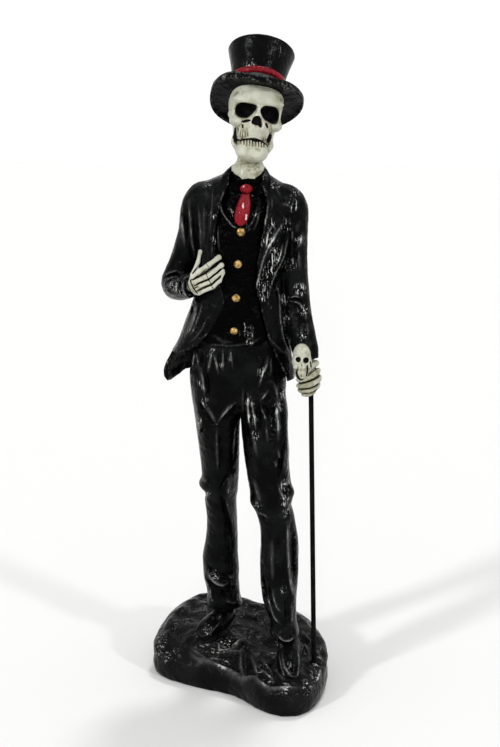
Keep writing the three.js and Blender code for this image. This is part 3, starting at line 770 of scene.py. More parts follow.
GROUND_PATCHES = [
    (160, 640, 9, 1), (158, 650, 8, 1), (166, 658, 7, 1), (175, 652, 6, 0.6), (205, 643, 8, 0.7),
    (225, 645, 9, 0.9), (235, 640, 7, 0.8), (215, 652, 8, 0.7), (222, 664, 9, 0.6), (262, 668, 9, 0.7),
    (268, 680, 8, 0.6), (286, 688, 7, 0.8), (318, 662, 7, 0.9), (316, 675, 8, 0.8), (308, 688, 7, 0.9),
    (272, 655, 7, 0.5), (185, 622, 8, 0.4), (248, 640, 8, 0.4), (322, 650, 7, 0.5), (255, 612, 7, 0.4),
    (196, 606, 7, 0.3),
]

GROUND_STROKES = laid_strokes(GROUND_TRACES, math.inf, on_figure, (0, 1))


def rim_at(x, y):
    return RIM_FRONT + RIM_RISE * ease(y + 0.25 * np.abs(x), -25, 42)


def ground_height(x, y):
    height = rim_at(x, y) + 3.2
    for across, back, wide, deep, rise in HUMPS:
        height = height + rise * bell(x, across, wide) * bell(y, back, deep)
    return height + 1.1 * np.sin(x * 0.23 + y * 0.17) * np.cos(y * 0.21 - x * 0.11)


def broken_rock(x, y):
    """Uneven heights of split rock over a grid of x by y."""
    spots = np.stack([x.ravel(), y.ravel(), np.zeros(x.size)], 1)
    rock = 0.7 * lumps(spots, 7, 13)
    for rise, squeeze, size, seed in ((1.1, 1, 9, 11), (0.6, 1.2, 4.6, 12)):
        level, gap = facets(spots * (1, squeeze, 1), size, seed)
        rock = rock + rise * level * ease(gap, 0, 0.5)
    return rock.reshape(x.shape)


def make_ground(material):
    clay = Clay((-60, -60, -1.5), (60, 60, 38), grid(0.6))
    z = clay.spread()[2]
    xx, yy = np.meshgrid(*clay.axes[:2], indexing="ij")
    outline = softened(GROUND_OUTLINE)
    plan = area_distance(outline - (outline.max(0) + outline.min(0)) / 2, xx, yy)
    inward = ease(-plan, 1.5, 11)
    top = (rim_at(xx, yy) * (1 - inward)
           + (ground_height(xx, yy) + 0.8 * broken_rock(xx, yy)) * inward
           + 1.5 * strokes(GROUND_STROKES, *clay.axes[:2]) * ease(-plan, 0.5, 3))
    wall = plan[:, :, None] + 0.35 * np.sin(z * 0.5 + 1) + 0.5 + np.where(z < 3, (3 - z) * 0.16, 0)
    up = (z - top[:, :, None]) * 0.86
    h = np.clip(0.5 + 0.5 * (wall - up) / RIM_WIDTH, 0, 1)
    clay.d = (up + (wall - up) * h + RIM_WIDTH * h * (1 - h) * 0.55).astype(F)
    clay.keep(UNDERSIDE - z)
    fire("ground_cast", clay, on_ground, material, triangles=20000, rough=0.35, grain=5, seed=5,
         spots=laid_spots(GROUND_PATCHES, on_figure), flake=0.5, lines=GROUND_STROKES, axes=(0, 1))


# Trousers and shoes

LEG_POWER = 2.2     # 2 is an ellipse, more is squarer
HIP_POWER = 2.3

RIGHT_LEG = [
    [46, -8.4, 9.9, 11.6, 12.4], [50, -8.7, 9.2, 11, 12], [55, -9.1, 8.5, 10.5, 11.6],
    [64, -9.9, 7.3, 10.8, 12.3], [72, -10.4, 6, 11.4, 12.4], [82, -10.8, 4.7, 11.2, 11.6],
    [94, -9.8, 2.9, 10.1, 11], [107, -9.6, 1.1, 9.5, 10.5], [119, -10.4, -0.5, 9.8, 11],
    [129, -10.4, -1.9, 11, 12.2], [143.5, -10.5, -2.7, 11.8, 12.8], [155, -11, -3.2, 12.5, 13.6],
    [167, -11.6, -3.7, 13.3, 14.6], [178, -12, -4.3, 14.2, 15.4], [190, -12.6, -4.6, 15.2, 16],
    [204, -12.5, -4.6, 15.8, 16.5],
]

LEFT_LEG = [
    [30, 33.6, -24.6, 5, 7], [34.3, 32.9, -24.1, 5.9, 9], [40.5, 30.9, -23, 7, 10.4],
    [48.3, 28.8, -22.5, 8.3, 11], [56, 27.3, -22.1, 9.4, 11.5], [64, 26.2, -21.7, 10.6, 12],
    [75.5, 26, -21, 11.6, 12.2], [87, 26, -20.4, 11.9, 12.2], [98.6, 26.2, -19.7, 11.6, 11.8],
    [110, 25, -19.1, 11.1, 11.8], [120, 22.8, -17.7, 11.7, 12.6], [132, 20.6, -16.1, 12.8, 13.2],
    [147, 18.6, -14, 13.4, 14], [158, 17.8, -12.4, 14, 14.6], [169, 16.9, -10.8, 14.2, 15.2],
    [180, 16.7, -9.2, 14.4, 15.8], [192, 15.8, -7.6, 13.6, 16.4], [204, 14.6, -6, 13.6, 16.6],
]

LEFT_CUFF = [
    [40.6, 29.5, -24.2, 8.9, 11.2], [41.6, 29.4, -24, 9.3, 11.6], [44, 29.2, -23.5, 8.8, 11.2],
]

HIPS = [
    [180, 2.2, -6, 14, 10], [186, 1.8, -5.8, 24, 14], [193, 1.2, -5.5, 28.2, 16],
    [202, 0.9, -5, 29.2, 17.6], [212, 1.2, -4.8, 28.4, 18.6], [225, 1.4, -4.5, 26.5, 18.8],
    [238, 1.2, -4.2, 24, 18],
]

RIGHT_LEG_FOLDS = [
    [-92, 160, 30, 0.3, 1.7, 0.3], [-58, 172, 26, 0.28, 1.5, 0.2], [-126, 178, 22, 0.3, 1.5, -0.3],
    [-92, 100, 34, 0.3, 1.2, 0.2], [-112, 66, 5, 0.8, 2.4, 0], [180, 131, 3.4, 0.7, 2.2, 0],
    [185, 124.5, 2.4, 0.8, -1.6, 0], [-60, 130, 5, 0.5, 1.3, 2], [-60, 52, 6, 0.5, 1.2, 0],
    [60, 118, 5, 0.7, 1.4, 0], [100, 170, 24, 0.4, 1.2, 0.2],
]

LEFT_LEG_FOLDS = [
    [-108, 162, 28, 0.3, 2, -0.4], [-74, 150, 30, 0.26, 1.6, 0.2], [-42, 160, 26, 0.28, 1.8, 0.3],
    [-85, 84, 34, 0.3, 1.4, 0], [-145, 125, 4.4, 0.7, 2.3, 0], [-20, 131, 3.4, 0.5, 2, 0],
    [-30, 121.5, 2.6, 0.8, -1.8, 0], [-70, 133, 4, 0.5, 1.4, 2], [100, 122, 4, 0.6, 1.4, 0],
    [-60, 44, 7, 0.4, 1.3, 0], [80, 170, 24, 0.4, 1.2, 0],
]

HIP_FOLDS = [
    [-128, 206, 13, 0.2, 1.5, 0], [-104, 206, 13, 0.2, 1.4, 0], [-58, 204, 14, 0.24, 1.5, 0],
    [-80, 190, 7, 0.3, 1.2, 0],
]

TROUSER_TRACES = [
    (0.8, 0.9, 0.4, [(195, 348), (194, 356), (192, 367)]), (0.7, 0.8, 0.4, [(196, 350), (199, 367)]),
    (-0.7, 0.8, 0.4, [(203, 350), (202, 366)]), (1.1, 0.9, 0.4, [(212, 349), (211, 356), (208, 371)]),
    (0.9, 0.9, 0.4, [(213, 352), (217, 366), (218, 374)]), (-0.8, 0.9, 0.4, [(219, 350), (221, 368)]),
    (0.9, 0.8, 0.4, [(223, 349), (223, 358), (223, 371)]), (-0.6, 0.8, 0.4, [(226, 350), (226, 366)]),
    (0.6, 0.8, 0.4, [(231, 350), (229, 364)]), (0.6, 0.7, 0.4, [(231, 352), (233, 369)]),
    (0.9, 0.8, 0.3, [(201, 367), (203, 380), (205, 397)]),
    (-0.8, 0.9, 0.3, [(206, 370), (208, 388), (208, 402)]), (0.7, 0.8, 0.3, [(202, 399), (205, 409)]),
    (-1, 0.9, 0.3, [(200, 402), (205, 412)]), (0.7, 1.2, 0.3, [(198, 412), (201, 422), (200, 431)]),
    (-0.7, 0.8, 0.3, [(201, 433), (204, 424)]), (0.7, 1.2, 0.2, [(206, 405), (211, 414), (216, 423)]),
    (-0.7, 0.7, 0.3, [(204, 412), (210, 420), (215, 426)]),
    (0.8, 0.8, 0.3, [(236, 402), (228, 409), (221, 417), (217, 424)]),
    (0.7, 0.8, 0.3, [(231, 404), (225, 411), (220, 418)]),
    (-0.8, 0.7, 0.3, [(238, 408), (230, 415), (222, 421)]), (0.6, 0.7, 0.5, [(216, 423), (218, 425)]),
    (0.5, 0.8, 0.2, [(217, 428), (217, 445), (218, 470)]),
    (-0.7, 1.2, 0.3, [(222, 432), (221, 450), (221, 472)]),
    (-0.5, 0.8, 0.3, [(236, 424), (236, 440), (234, 460)]),
    (0.9, 1.6, 0.3, [(235, 472), (230, 484), (228, 497)]),
    (-0.7, 1, 0.3, [(229, 474), (223, 484), (221, 494)]),
    (-0.8, 1, 0.2, [(222, 492), (223, 502), (227, 515), (231, 530), (232, 545)]),
    (0.6, 1.2, 0.2, [(226, 494), (229, 508), (233, 522), (235, 540)]),
    (0.9, 1.2, 0.4, [(204, 476), (206, 482)]), (-1.2, 0.6, 0.3, [(203, 488), (206, 491), (209, 492)]),
    (0.8, 0.6, 0.3, [(205, 495), (208, 495), (211, 492)]), (0.4, 0.8, 0.3, [(207, 499), (210, 507)]),
    (1.3, 1.1, 0.3, [(208, 570), (211, 577), (217, 582), (224, 584), (228, 582)]),
    (-1.2, 1.2, 0.3, [(209, 566), (214, 573), (221, 577), (229, 578)]),
    (-0.9, 0.9, 0.3, [(207, 578), (212, 584), (219, 587), (226, 588)]),
    (0.7, 0.8, 0.3, [(229, 575), (233, 578)]), (-0.6, 0.7, 0.3, [(228, 560), (230, 572)]),
    (0.7, 0.8, 0.2, [(210, 588), (211, 597), (214, 602)]),
    (-0.8, 1, 0.3, [(222, 589), (224, 597), (229, 600)]), (-0.6, 0.7, 0.3, [(230, 588), (234, 588)]),
    (0.6, 0.8, 0.3, [(238, 590), (238, 602)]), (0.5, 0.8, 0.2, [(226, 600), (232, 602), (237, 602)]),
    (1.1, 1.1, 0.3, [(248, 394), (248, 407), (249, 418), (250, 427)]),
    (1.1, 0.7, 0.2, [(251, 398), (253, 410), (255, 422), (256, 430)]),
    (-0.8, 0.7, 0.3, [(250, 400), (251, 412), (252, 424)]),
    (0.9, 1.3, 0.3, [(252, 430), (254, 440), (257, 455)]),
    (-0.9, 1, 0.3, [(257, 400), (259, 420), (259, 440)]),
    (0.5, 0.6, 0.3, [(243, 390), (243, 402), (243, 412)]), (-0.5, 0.6, 0.3, [(245, 392), (245, 405)]),
    (0.8, 0.7, 0.3, [(268, 390), (264, 396), (260, 401)]),
    (-0.8, 0.8, 0.3, [(270, 393), (268, 400), (263, 402)]),
    (0.8, 0.6, 0.3, [(261, 407), (264, 414), (266, 421)]),
    (-1, 0.9, 0.3, [(262, 404), (267, 411), (268, 419)]),
    (0.5, 0.8, 0.3, [(266, 424), (267, 436), (268, 443)]),
    (0.9, 0.9, 0.3, [(268, 357), (267, 364), (263, 372), (259, 387)]),
    (-0.6, 0.7, 0.3, [(265, 358), (263, 366), (260, 376)]), (0.5, 0.7, 0.3, [(271, 358), (271, 375)]),
    (0.8, 0.9, 0.4, [(274, 383), (277, 392), (278, 400)]),
    (1.2, 1.4, 0.3, [(277, 398), (277, 412), (278, 424), (278, 440)]),
    (-0.8, 0.9, 0.3, [(272, 400), (273, 420), (273, 440)]), (0.8, 0.7, 0.3, [(283, 386), (283, 398)]),
    (-0.7, 0.7, 0.3, [(281, 402), (282, 420), (283, 436)]), (0.7, 0.9, 0.3, [(278, 449), (280, 459)]),
    (0.9, 1.1, 0.4, [(276, 460), (276, 467)]),
    (-1.1, 0.9, 0.2, [(285, 440), (283, 455), (280, 465), (279, 475), (279, 482)]),
    (0.8, 1.5, 0.3, [(286, 445), (285, 460), (284, 472)]),
    (0.9, 0.7, 0.3, [(279, 483), (280, 490), (284, 498), (286, 502)]),
    (-1.1, 0.8, 0.3, [(282, 484), (285, 492), (287, 497)]), (0.8, 0.8, 0.4, [(284, 482), (287, 485)]),
    (-0.9, 0.7, 0.4, [(288, 484), (289, 492)]), (0.8, 0.6, 0.3, [(288, 496), (287, 500)]),
    (0.7, 0.7, 0.3, [(283, 500), (285, 508)]), (0.8, 0.8, 0.4, [(287, 508), (289, 511)]),
    (-0.8, 0.7, 0.4, [(287, 512), (289, 516)]), (0.7, 0.7, 0.3, [(283, 514), (285, 518)]),
    (0.9, 1.6, 0.2, [(254, 480), (257, 490), (260, 502)]),
    (-0.7, 0.8, 0.3, [(252, 484), (253, 496), (256, 505)]),
    (-1, 0.9, 0.3, [(254, 503), (259, 508), (263, 509)]),
    (0.7, 0.9, 0.3, [(258, 512), (263, 514), (268, 518)]), (-0.5, 0.7, 0.3, [(263, 517), (266, 520)]),
    (-0.8, 1.2, 0.3, [(278, 529), (279, 545), (280, 565)]),
    (0.6, 1.2, 0.2, [(272, 540), (272, 560), (273, 580)]), (-0.5, 0.8, 0.3, [(266, 543), (270, 541)]),
    (1, 1.1, 0.15, [(288, 520), (288, 545), (289, 565), (291, 582), (294, 598)]),
    (-0.9, 0.9, 0.15, [(293, 532), (293, 555), (294, 575)]),
    (-0.9, 0.9, 0.2, [(263, 575), (265, 590), (268, 602), (273, 615)]),
    (0.9, 0.8, 0.2, [(268, 596), (270, 606), (274, 616), (280, 624)]),
    (-0.7, 0.8, 0.2, [(270, 585), (271, 597), (276, 608)]),
    (0.7, 0.9, 0.2, [(273, 590), (275, 603), (281, 612)]), (-0.7, 0.6, 0.5, [(281, 588), (283, 590)]),
    (-0.8, 1.2, 0.3, [(285, 596), (286, 610), (288, 622)]),
    (0.6, 0.8, 0.3, [(292, 600), (292, 614), (292, 626)]),
    (0.8, 0.8, 0.2, [(277, 632), (284, 638), (290, 638), (294, 634)]),
]

TROUSER_PATCHES = [
    (288, 384, 8, 1), (283, 394, 7, 0.9), (278, 408, 8, 0.7), (276, 424, 8, 0.6), (250, 402, 6, 1),
    (252, 418, 7, 1), (256, 435, 6, 0.7), (199, 420, 6, 0.9), (202, 385, 5, 0.8), (205, 402, 5, 0.7),
    (212, 352, 5, 0.7), (222, 365, 4, 0.6), (262, 372, 6, 0.7), (286, 486, 8, 1), (284, 500, 7, 1),
    (288, 512, 6, 0.9), (203, 492, 6, 0.8), (258, 505, 6, 0.6), (215, 575, 7, 0.6), (262, 560, 6, 0.3),
    (284, 590, 5, 0.5), (268, 600, 5, 0.4), (290, 470, 6, 0.7), (240, 390, 5, 0.4),
]

TROUSER_BACK = [
    (-0.9, 1.1, 0.3, [(2, 206), (2, 192), (3, 180)]),
    (0.8, 1.6, 0.3, [(-18, 196), (-12, 184), (-8, 170)]),
    (0.8, 1.6, 0.3, [(22, 196), (18, 184), (14, 170)]),
    (-0.8, 1, 0.3, [(-18, 122), (-10, 119), (-3, 121)]),
    (0.8, 1.2, 0.3, [(-19, 126), (-10, 123), (-2, 125)]),
    (0.7, 1.2, 0.3, [(-18, 114), (-10, 112), (-3, 115)]),
    (-0.8, 1, 0.3, [(14, 124), (22, 120), (31, 122)]),
    (0.8, 1.2, 0.3, [(13, 128), (22, 124), (32, 126)]),
    (0.7, 1.2, 0.3, [(15, 116), (24, 113), (32, 115)]),
    (0.8, 1.6, 0.3, [(-12, 106), (-10, 84), (-9, 62)]),
    (0.8, 1.6, 0.3, [(24, 104), (26, 84), (27, 62)]), (-0.7, 1.2, 0.3, [(-16, 52), (-8, 49), (0, 52)]),
    (0.8, 1.2, 0.3, [(-17, 56), (-8, 53), (1, 56)]), (-0.7, 1.2, 0.3, [(22, 46), (28, 43), (36, 46)]),
    (0.8, 1.2, 0.3, [(20, 50), (28, 47), (37, 50)]),
    (0.6, 1.4, 0.3, [(-15, 168), (-12, 150), (-12, 134)]),
    (0.6, 1.4, 0.3, [(22, 168), (20, 150), (21, 134)]),
]

CUFF_HOLES = [
    [[44, -8.4, 9.9, 9.8, 10.6], [49, -8.4, 9.9, 9.4, 10.2]],
    [[40, 29.3, -23.8, 7.6, 9.8], [44.5, 29.2, -23.4, 7.2, 9.4]],
]
ANKLES = [
    [(-8.4, 10.2, 52), (-9.4, 8.8, 38), 7.4, 6.6], [(29.4, -22.6, 48), (32.2, -20.6, 31), 6.6, 6.2],
]


def make_trousers(material):
    clay = Clay((-29, -41, 28), (47, 26, 238), grid(0.6))
    clay.put(column(RIGHT_LEG, LEG_POWER, fold=folds(RIGHT_LEG_FOLDS)))
    left_leg = LEFT_CUFF + LEFT_LEG[3:]
    clay.put(column(left_leg, LEG_POWER, fold=folds(LEFT_LEG_FOLDS)), 1.5)
    clay.put(column(HIPS, HIP_POWER, fold=folds(HIP_FOLDS)), 2)
    x, y, z = clay.spread()
    right, left = np.asarray(RIGHT_LEG, float).T, np.asarray(LEFT_LEG, float).T
    parting = (np.interp(z, right[0], right[1]) + np.interp(z, left[0], left[1])) / 2
    middle = np.where(x < parting, np.interp(z, right[0], right[2]), np.interp(z, left[0], left[2]))
    traced = laid_strokes(TROUSER_TRACES)
    clay.carve(traced, 1 - ease(y - middle, -4, 2), 2.3)
    clay.carve(TROUSER_BACK, ease(y - middle, 0, 5))
    for hole in CUFF_HOLES:
        clay.put(column(hole, LEG_POWER), 0.3, cut=True)
    for ankle in ANKLES:
        clay.put(rod(*ankle))
    fire("trousers_cast", clay, on_figure, material, triangles=24000, rough=0.16, grain=3.4, seed=21,
         spots=laid_spots(TROUSER_PATCHES), flake=0.45, lines=traced)


SHOES = [
    [[-7.5, 15, 36.8, 6.5], [-9.5, 7.5, 37.6, 7.2], [-13.2, 1, 36.6, 7.4], [-17.6, -4, 35.4, 7.2],
     [-20.4, -7.4, 34.6, 6]],
    [[33, -13, 30, 6.2], [32.8, -21, 31, 7], [32.3, -28.5, 29.8, 7.3], [31.9, -35, 28.6, 7.2],
     [31.8, -39.6, 27.8, 6]],
]

SOLES = [
    [[-7.5, 17, 31.2, 6.2], [-10, 7, 31.2, 6.8], [-13.6, 0, 30.6, 7.6], [-18, -5, 29.8, 7.4],
     [-21, -8.8, 29.4, 6.2]],
    [[33.2, -10, 24.8, 6.2], [32.9, -21, 24.6, 7], [32.4, -29, 23.8, 7.6], [32, -36, 23, 7.6],
     [31.9, -41, 22.6, 6.4]],
]

SHOE_TRACES = [
    (0.6, 0.6, 0.3, [(217, 618), (222, 613)]), (0.5, 0.5, 0.4, [(212, 617), (214, 613)]),
    (-0.5, 0.6, 0.3, [(205, 626), (213, 620)]),
    (0.6, 0.5, 0.2, [(198, 630), (202, 634), (208, 633), (216, 626), (221, 619)]),
    (0.8, 0.6, 0.1, [(282, 647), (283, 660), (286, 668), (292, 671), (297, 668), (299, 657),
        (297, 646)]),
    (0.6, 0.6, 0.1, [(279, 647), (280, 658), (282, 667), (285, 672)]),
    (-0.6, 0.5, 0.1, [(281, 648), (282, 660), (285, 668)]),
    (-0.4, 0.5, 0.2, [(286, 652), (287, 662), (291, 668), (296, 662), (296, 652)]),
]

UPWARD = (0, 0, 1)
SHOE_SQUASH = 0.86
SOLE_SQUASH = 0.34
SHOE_PATCHES = [[32, -44, 27, 5, 0.4], [-19, -9, 36, 5, 0.5]]


def make_shoes(material):
    clay = Clay((-33, -58, 18), (47, 26, 46), grid(0.5))
    for shoe, sole in zip(SHOES, SOLES):
        clay.put_line(shoe, 18, 0.4, UPWARD, SHOE_SQUASH)
        clay.put_line(sole, 18, 0.5, UPWARD, SOLE_SQUASH)
    traced = laid_strokes(SHOE_TRACES)
    clay.carve(traced, 1 - ease(clay.spread()[1], -12, 4))
    fire("shoes_cast", clay, on_figure, material, triangles=6000, rough=0.1, grain=3, seed=31,
         spots=SHOE_PATCHES, flake=0.2, lines=traced)


# Waistcoat and shirt

VEST_POWER = 2.4
COLLAR_POWER = 2.1
SHIRT_DEPTH = 1.3       # how far the shirt lies under the waistcoat's front
WING_RISE = 1.9         # and how far the collar's wings stand before it

WAISTCOAT = [
    [222.5, -0.5, -4.5, 24, 20.6], [227, -0.5, -4.5, 24.2, 21.2], [236, -0.2, -4.3, 24, 21],
    [250, 0.5, -4, 23.4, 20.4], [268, 1.5, -3.5, 22.6, 19.8], [284, 2.5, -3, 22.4, 19],
    [298, 3.5, -2.5, 22, 17.6], [308, 4.6, -1.8, 19.5, 15.6], [317, 5.8, -0.6, 13, 12.4],
]

VEST_FOLDS = [
    [-118, 240, 10, 0.3, 0.9, 2], [-62, 238, 10, 0.3, 0.9, -2], [-90, 226, 5, 0.4, 0.8, 0],
]

VEST_TRACES = [
    (0.9, 0.6, 0.1, [(219, 203), (222, 211), (227, 219), (233, 226), (238, 228)]),
    (-0.6, 0.5, 0.1, [(222, 203), (225, 210), (230, 218), (235, 225)]),
    (0.5, 0.6, 0.2, [(258, 205), (255, 216), (250, 225), (245, 229)]),
    (0.4, 0.5, 0.3, [(253, 218), (256, 214)]), (0.5, 0.6, 0.3, [(260, 208), (257, 222), (253, 231)]),
    (0.5, 0.7, 0.3, [(248, 231), (250, 228)]),
    (-0.25, 0.4, 0.1, [(244, 240), (241, 262), (239, 296), (237, 325)]),
    (0.5, 0.6, 0.2, [(218, 225), (218, 240), (220, 252)]),
    (0.35, 0.8, 0.1, [(208, 345), (216, 345), (230, 346), (240, 345), (252, 342), (260, 338)]),
    (0.5, 0.7, 0.3, [(246, 328), (252, 326)]), (0.5, 0.7, 0.3, [(245, 334), (252, 332)]),
    (0.5, 0.7, 0.3, [(246, 339), (252, 338)]), (0.5, 0.8, 0.3, [(249, 345), (254, 342)]),
    (0.5, 0.8, 0.3, [(252, 326), (253, 340)]), (0.5, 0.5, 0.3, [(239, 329), (240, 337)]),
    (0.3, 1, 0.3, [(214, 335), (222, 341), (232, 342)]),
]

VEST_PATCHES = [
    (249, 332, 6.5, 1), (250, 342, 5, 1), (246, 326, 4, 0.8), (232, 212, 6, 0.6), (237, 218, 5, 0.6),
    (256, 214, 5, 0.5), (247, 225, 4, 0.4), (225, 345, 4, 0.4),
]

NECKLINE = [
    [-9, 312], [-8.4, 305], [-6.6, 299], [-3, 295], [2.4, 292], [8, 294], [13, 299], [16, 305],
    [17, 312], [14, 324], [-4, 324],
]
SHIRT_COLLAR = [
    [311, 6, -1.6, 12.6, 12.8], [316, 6.6, -1.3, 11.6, 12.2], [322, 7, -0.8, 10.4, 11.4],
    [326, 7.2, -0.4, 9.8, 10.6],
]
COLLAR_WINGS = [
    [[-5.4, 325], [-6.4, 313.5], [-2, 310.4], [2.2, 309.2], [4.2, 315.6], [2, 322]],
    [[15, 325], [17, 313.5], [13.2, 310], [9, 309.4], [7.6, 315.6], [9, 322]],
]

COAT_OPENING = [
    [-3.4, 334], [-4.5, 316], [-8, 309], [-10.5, 300], [-12.2, 288], [-12, 272], [-9.5, 259],
    [-6.5, 249], [-9.5, 240], [-15.8, 231], [-24, 221], [-34, 215], [-60, 211], [-60, 180],
    [31, 180], [30, 202], [25.2, 211], [20.4, 222], [16.6, 236], [13.8, 248], [12, 260],
    [12.4, 272], [15, 286], [18, 300], [17.4, 309], [14, 316],
    [16.6, 326], [16.6, 334],
]


def make_waistcoat(material):
    clay = Clay((-26, -29, 220), (27, 20, 326), grid(0.5))
    x, y, z = clay.spread()
    clay.put(column(WAISTCOAT, VEST_POWER, fold=folds(VEST_FOLDS)))
    shirt = clay.alone(column(WAISTCOAT, VEST_POWER, grow=-SHIRT_DEPTH))
    neckline = clay.alone(slab(softened(NECKLINE), -4))
    clay.keep(-np.maximum(neckline, -shirt))
    rim = z - (320.2 + 0.5 * (y + 11)) - 0.01 * (x - 7) ** 2
    collar = np.maximum(clay.alone(column(SHIRT_COLLAR, COLLAR_POWER)), rim).astype(F)
    clay.d = blend_min(clay.d, collar, 0.4)
    outer = clay.alone(column(WAISTCOAT, VEST_POWER, grow=WING_RISE))
    for wing in COLLAR_WINGS:
        clay.d = blend_min(clay.d, np.maximum(outer, clay.alone(slab(softened(wing), -4))), 0.5)
    traced = laid_strokes(VEST_TRACES)
    clay.carve(traced, 1 - ease(y, -14, -6), 1.6)
    under_coat = ease(area_distance(COAT_OPENING, x, z), 0.3, 1.8)
    clay.swell(-1.5 * under_coat * (1 - ease(y, -8, 0)))
    fire("waistcoat_cast", clay, on_figure, material, triangles=10000, rough=0.1, grain=3.2, seed=41,
         spots=laid_spots(VEST_PATCHES), lines=traced, flake=0.5)


# Coat

COAT_POWER = 2.3
LAPEL_RISE = 1.5
SLEEVE_SHARE = 0.965    # sleeves are this much of the radius in their tables
SKIRT_ROOF = 229        # the skirt is hollow up to here
HEM_LEVEL = 195.8
HEM_SLOPE = 0.07

COAT = [
    [190, -4.6, -1, 38.2, 23.2], [196, -4.8, -1, 39, 23.6], [204, -5.2, -1.2, 39.4, 23.6],
    [213, -3.8, -1.8, 37, 23], [222, -1.6, -2.8, 33.8, 22.2], [232, -0.2, -3.5, 31.3, 21.4],
    [244, 1.3, -3.9, 28.6, 21], [256, 2.5, -3.6, 26.4, 20.9], [272, 2.9, -2.8, 25.8, 20.9],
    [290, 3.6, -1.8, 27.4, 20.2], [305, 4.2, -1, 29, 18.6], [313, 3.8, -0.4, 28, 16.4],
    [317.5, 3.8, 0.4, 21.4, 14.2], [321, 5.4, 1, 14.6, 12.2], [324, 6.2, 1.4, 10.4, 10],
]

COAT_FOLDS = [
    [-35, 199, 14, 0.45, 3, 0], [192, 194, 10, 0.5, 2.4, 0], [90, 205, 22, 0.2, -1.8, 0],
    [62, 206, 26, 0.26, 1.8, 0], [122, 206, 26, 0.26, 1.8, 0], [-45, 262, 26, 0.22, 1.6, -0.4],
    [-62, 232, 22, 0.2, 1.5, 0.3], [30, 236, 16, 0.3, 1.3, 1], [150, 240, 16, 0.3, 1.3, -1],
]

SKIRT_HOLLOW = [
    [180, -4.6, -1, 36, 21], [196, -4.8, -1, 36.4, 21.2], [204, -5.2, -1.2, 36.8, 21.2],
    [213, -3.8, -1.8, 34.2, 20.4], [222, -1.4, -2.8, 30, 19], [230, 0, -3.4, 26, 16],
]

SWUNG_SIDE = [[-60, 180], [-60, 214], [-34, 216], [-24, 221.5], [-16, 224], [-16, 180]]

RIGHT_LAPEL = [
    [-4, 318], [-9, 315], [-14, 311], [-16.4, 298], [-17.2, 282], [-16, 266], [-12.6, 256],
    [-9.5, 259], [-12, 272], [-12.2, 288], [-10.5, 300], [-8, 309],
]

LEFT_LAPEL = [
    [15, 316], [22, 313], [26, 306], [22.8, 301], [27.5, 295], [22, 283], [16, 270], [12.6, 262],
    [12.3, 272], [15, 286], [18, 300], [17.4, 309],
]

RIGHT_SLEEVE = [
    [-19.4, 0, 308, 9.2], [-23.8, 0.5, 300.6, 9.4], [-26.2, 2, 287, 8.9], [-31.2, 4, 270, 9],
    [-36, 5, 257, 9.6], [-35, -2, 255.2, 8.8], [-31, -12, 256.4, 7.9], [-27.4, -19, 258, 7.2],
]

LEFT_SLEEVE = [
    [28.8, -1, 306.2, 9.2], [32.9, -1.5, 300.6, 9.7], [33.6, -2, 289, 9], [33.4, -2.5, 272, 9],
    [33.8, -3.5, 257, 9.4], [36, -8, 241, 8.8], [39, -14, 227, 8.3], [41.8, -18.6, 216, 7.9],
]

COLLAR = [
    [-9, -15, 312, 2.0], [-7.4, -9.4, 317.6, 2.4], [-4.2, -2.5, 321.8, 2.6], [1, 6.4, 324.6, 3],
    [8, 8.8, 325.2, 3], [14.2, 5, 323.8, 2.8], [17.4, -3, 320, 2.5], [18.8, -9.8, 315.2, 2.4],
    [18.5, -15, 311.4, 2.0],
]

LEFT_CUFF_HOLE = [(43, -19.5, 212.6), (6.2, 6.2, 4.6)]
RIGHT_CUFF_HOLE = [(-28.5, -17, 257.8), (-24.5, -23.5, 258.6), 5.2]

TAIL_RISE = [
    [-47, 6], [-44.4, 3], [-43, 0.9], [-41, 0.4], [-36, 2.6], [-32.4, 4.6], [-26, 4.8], [-21, 0],
]

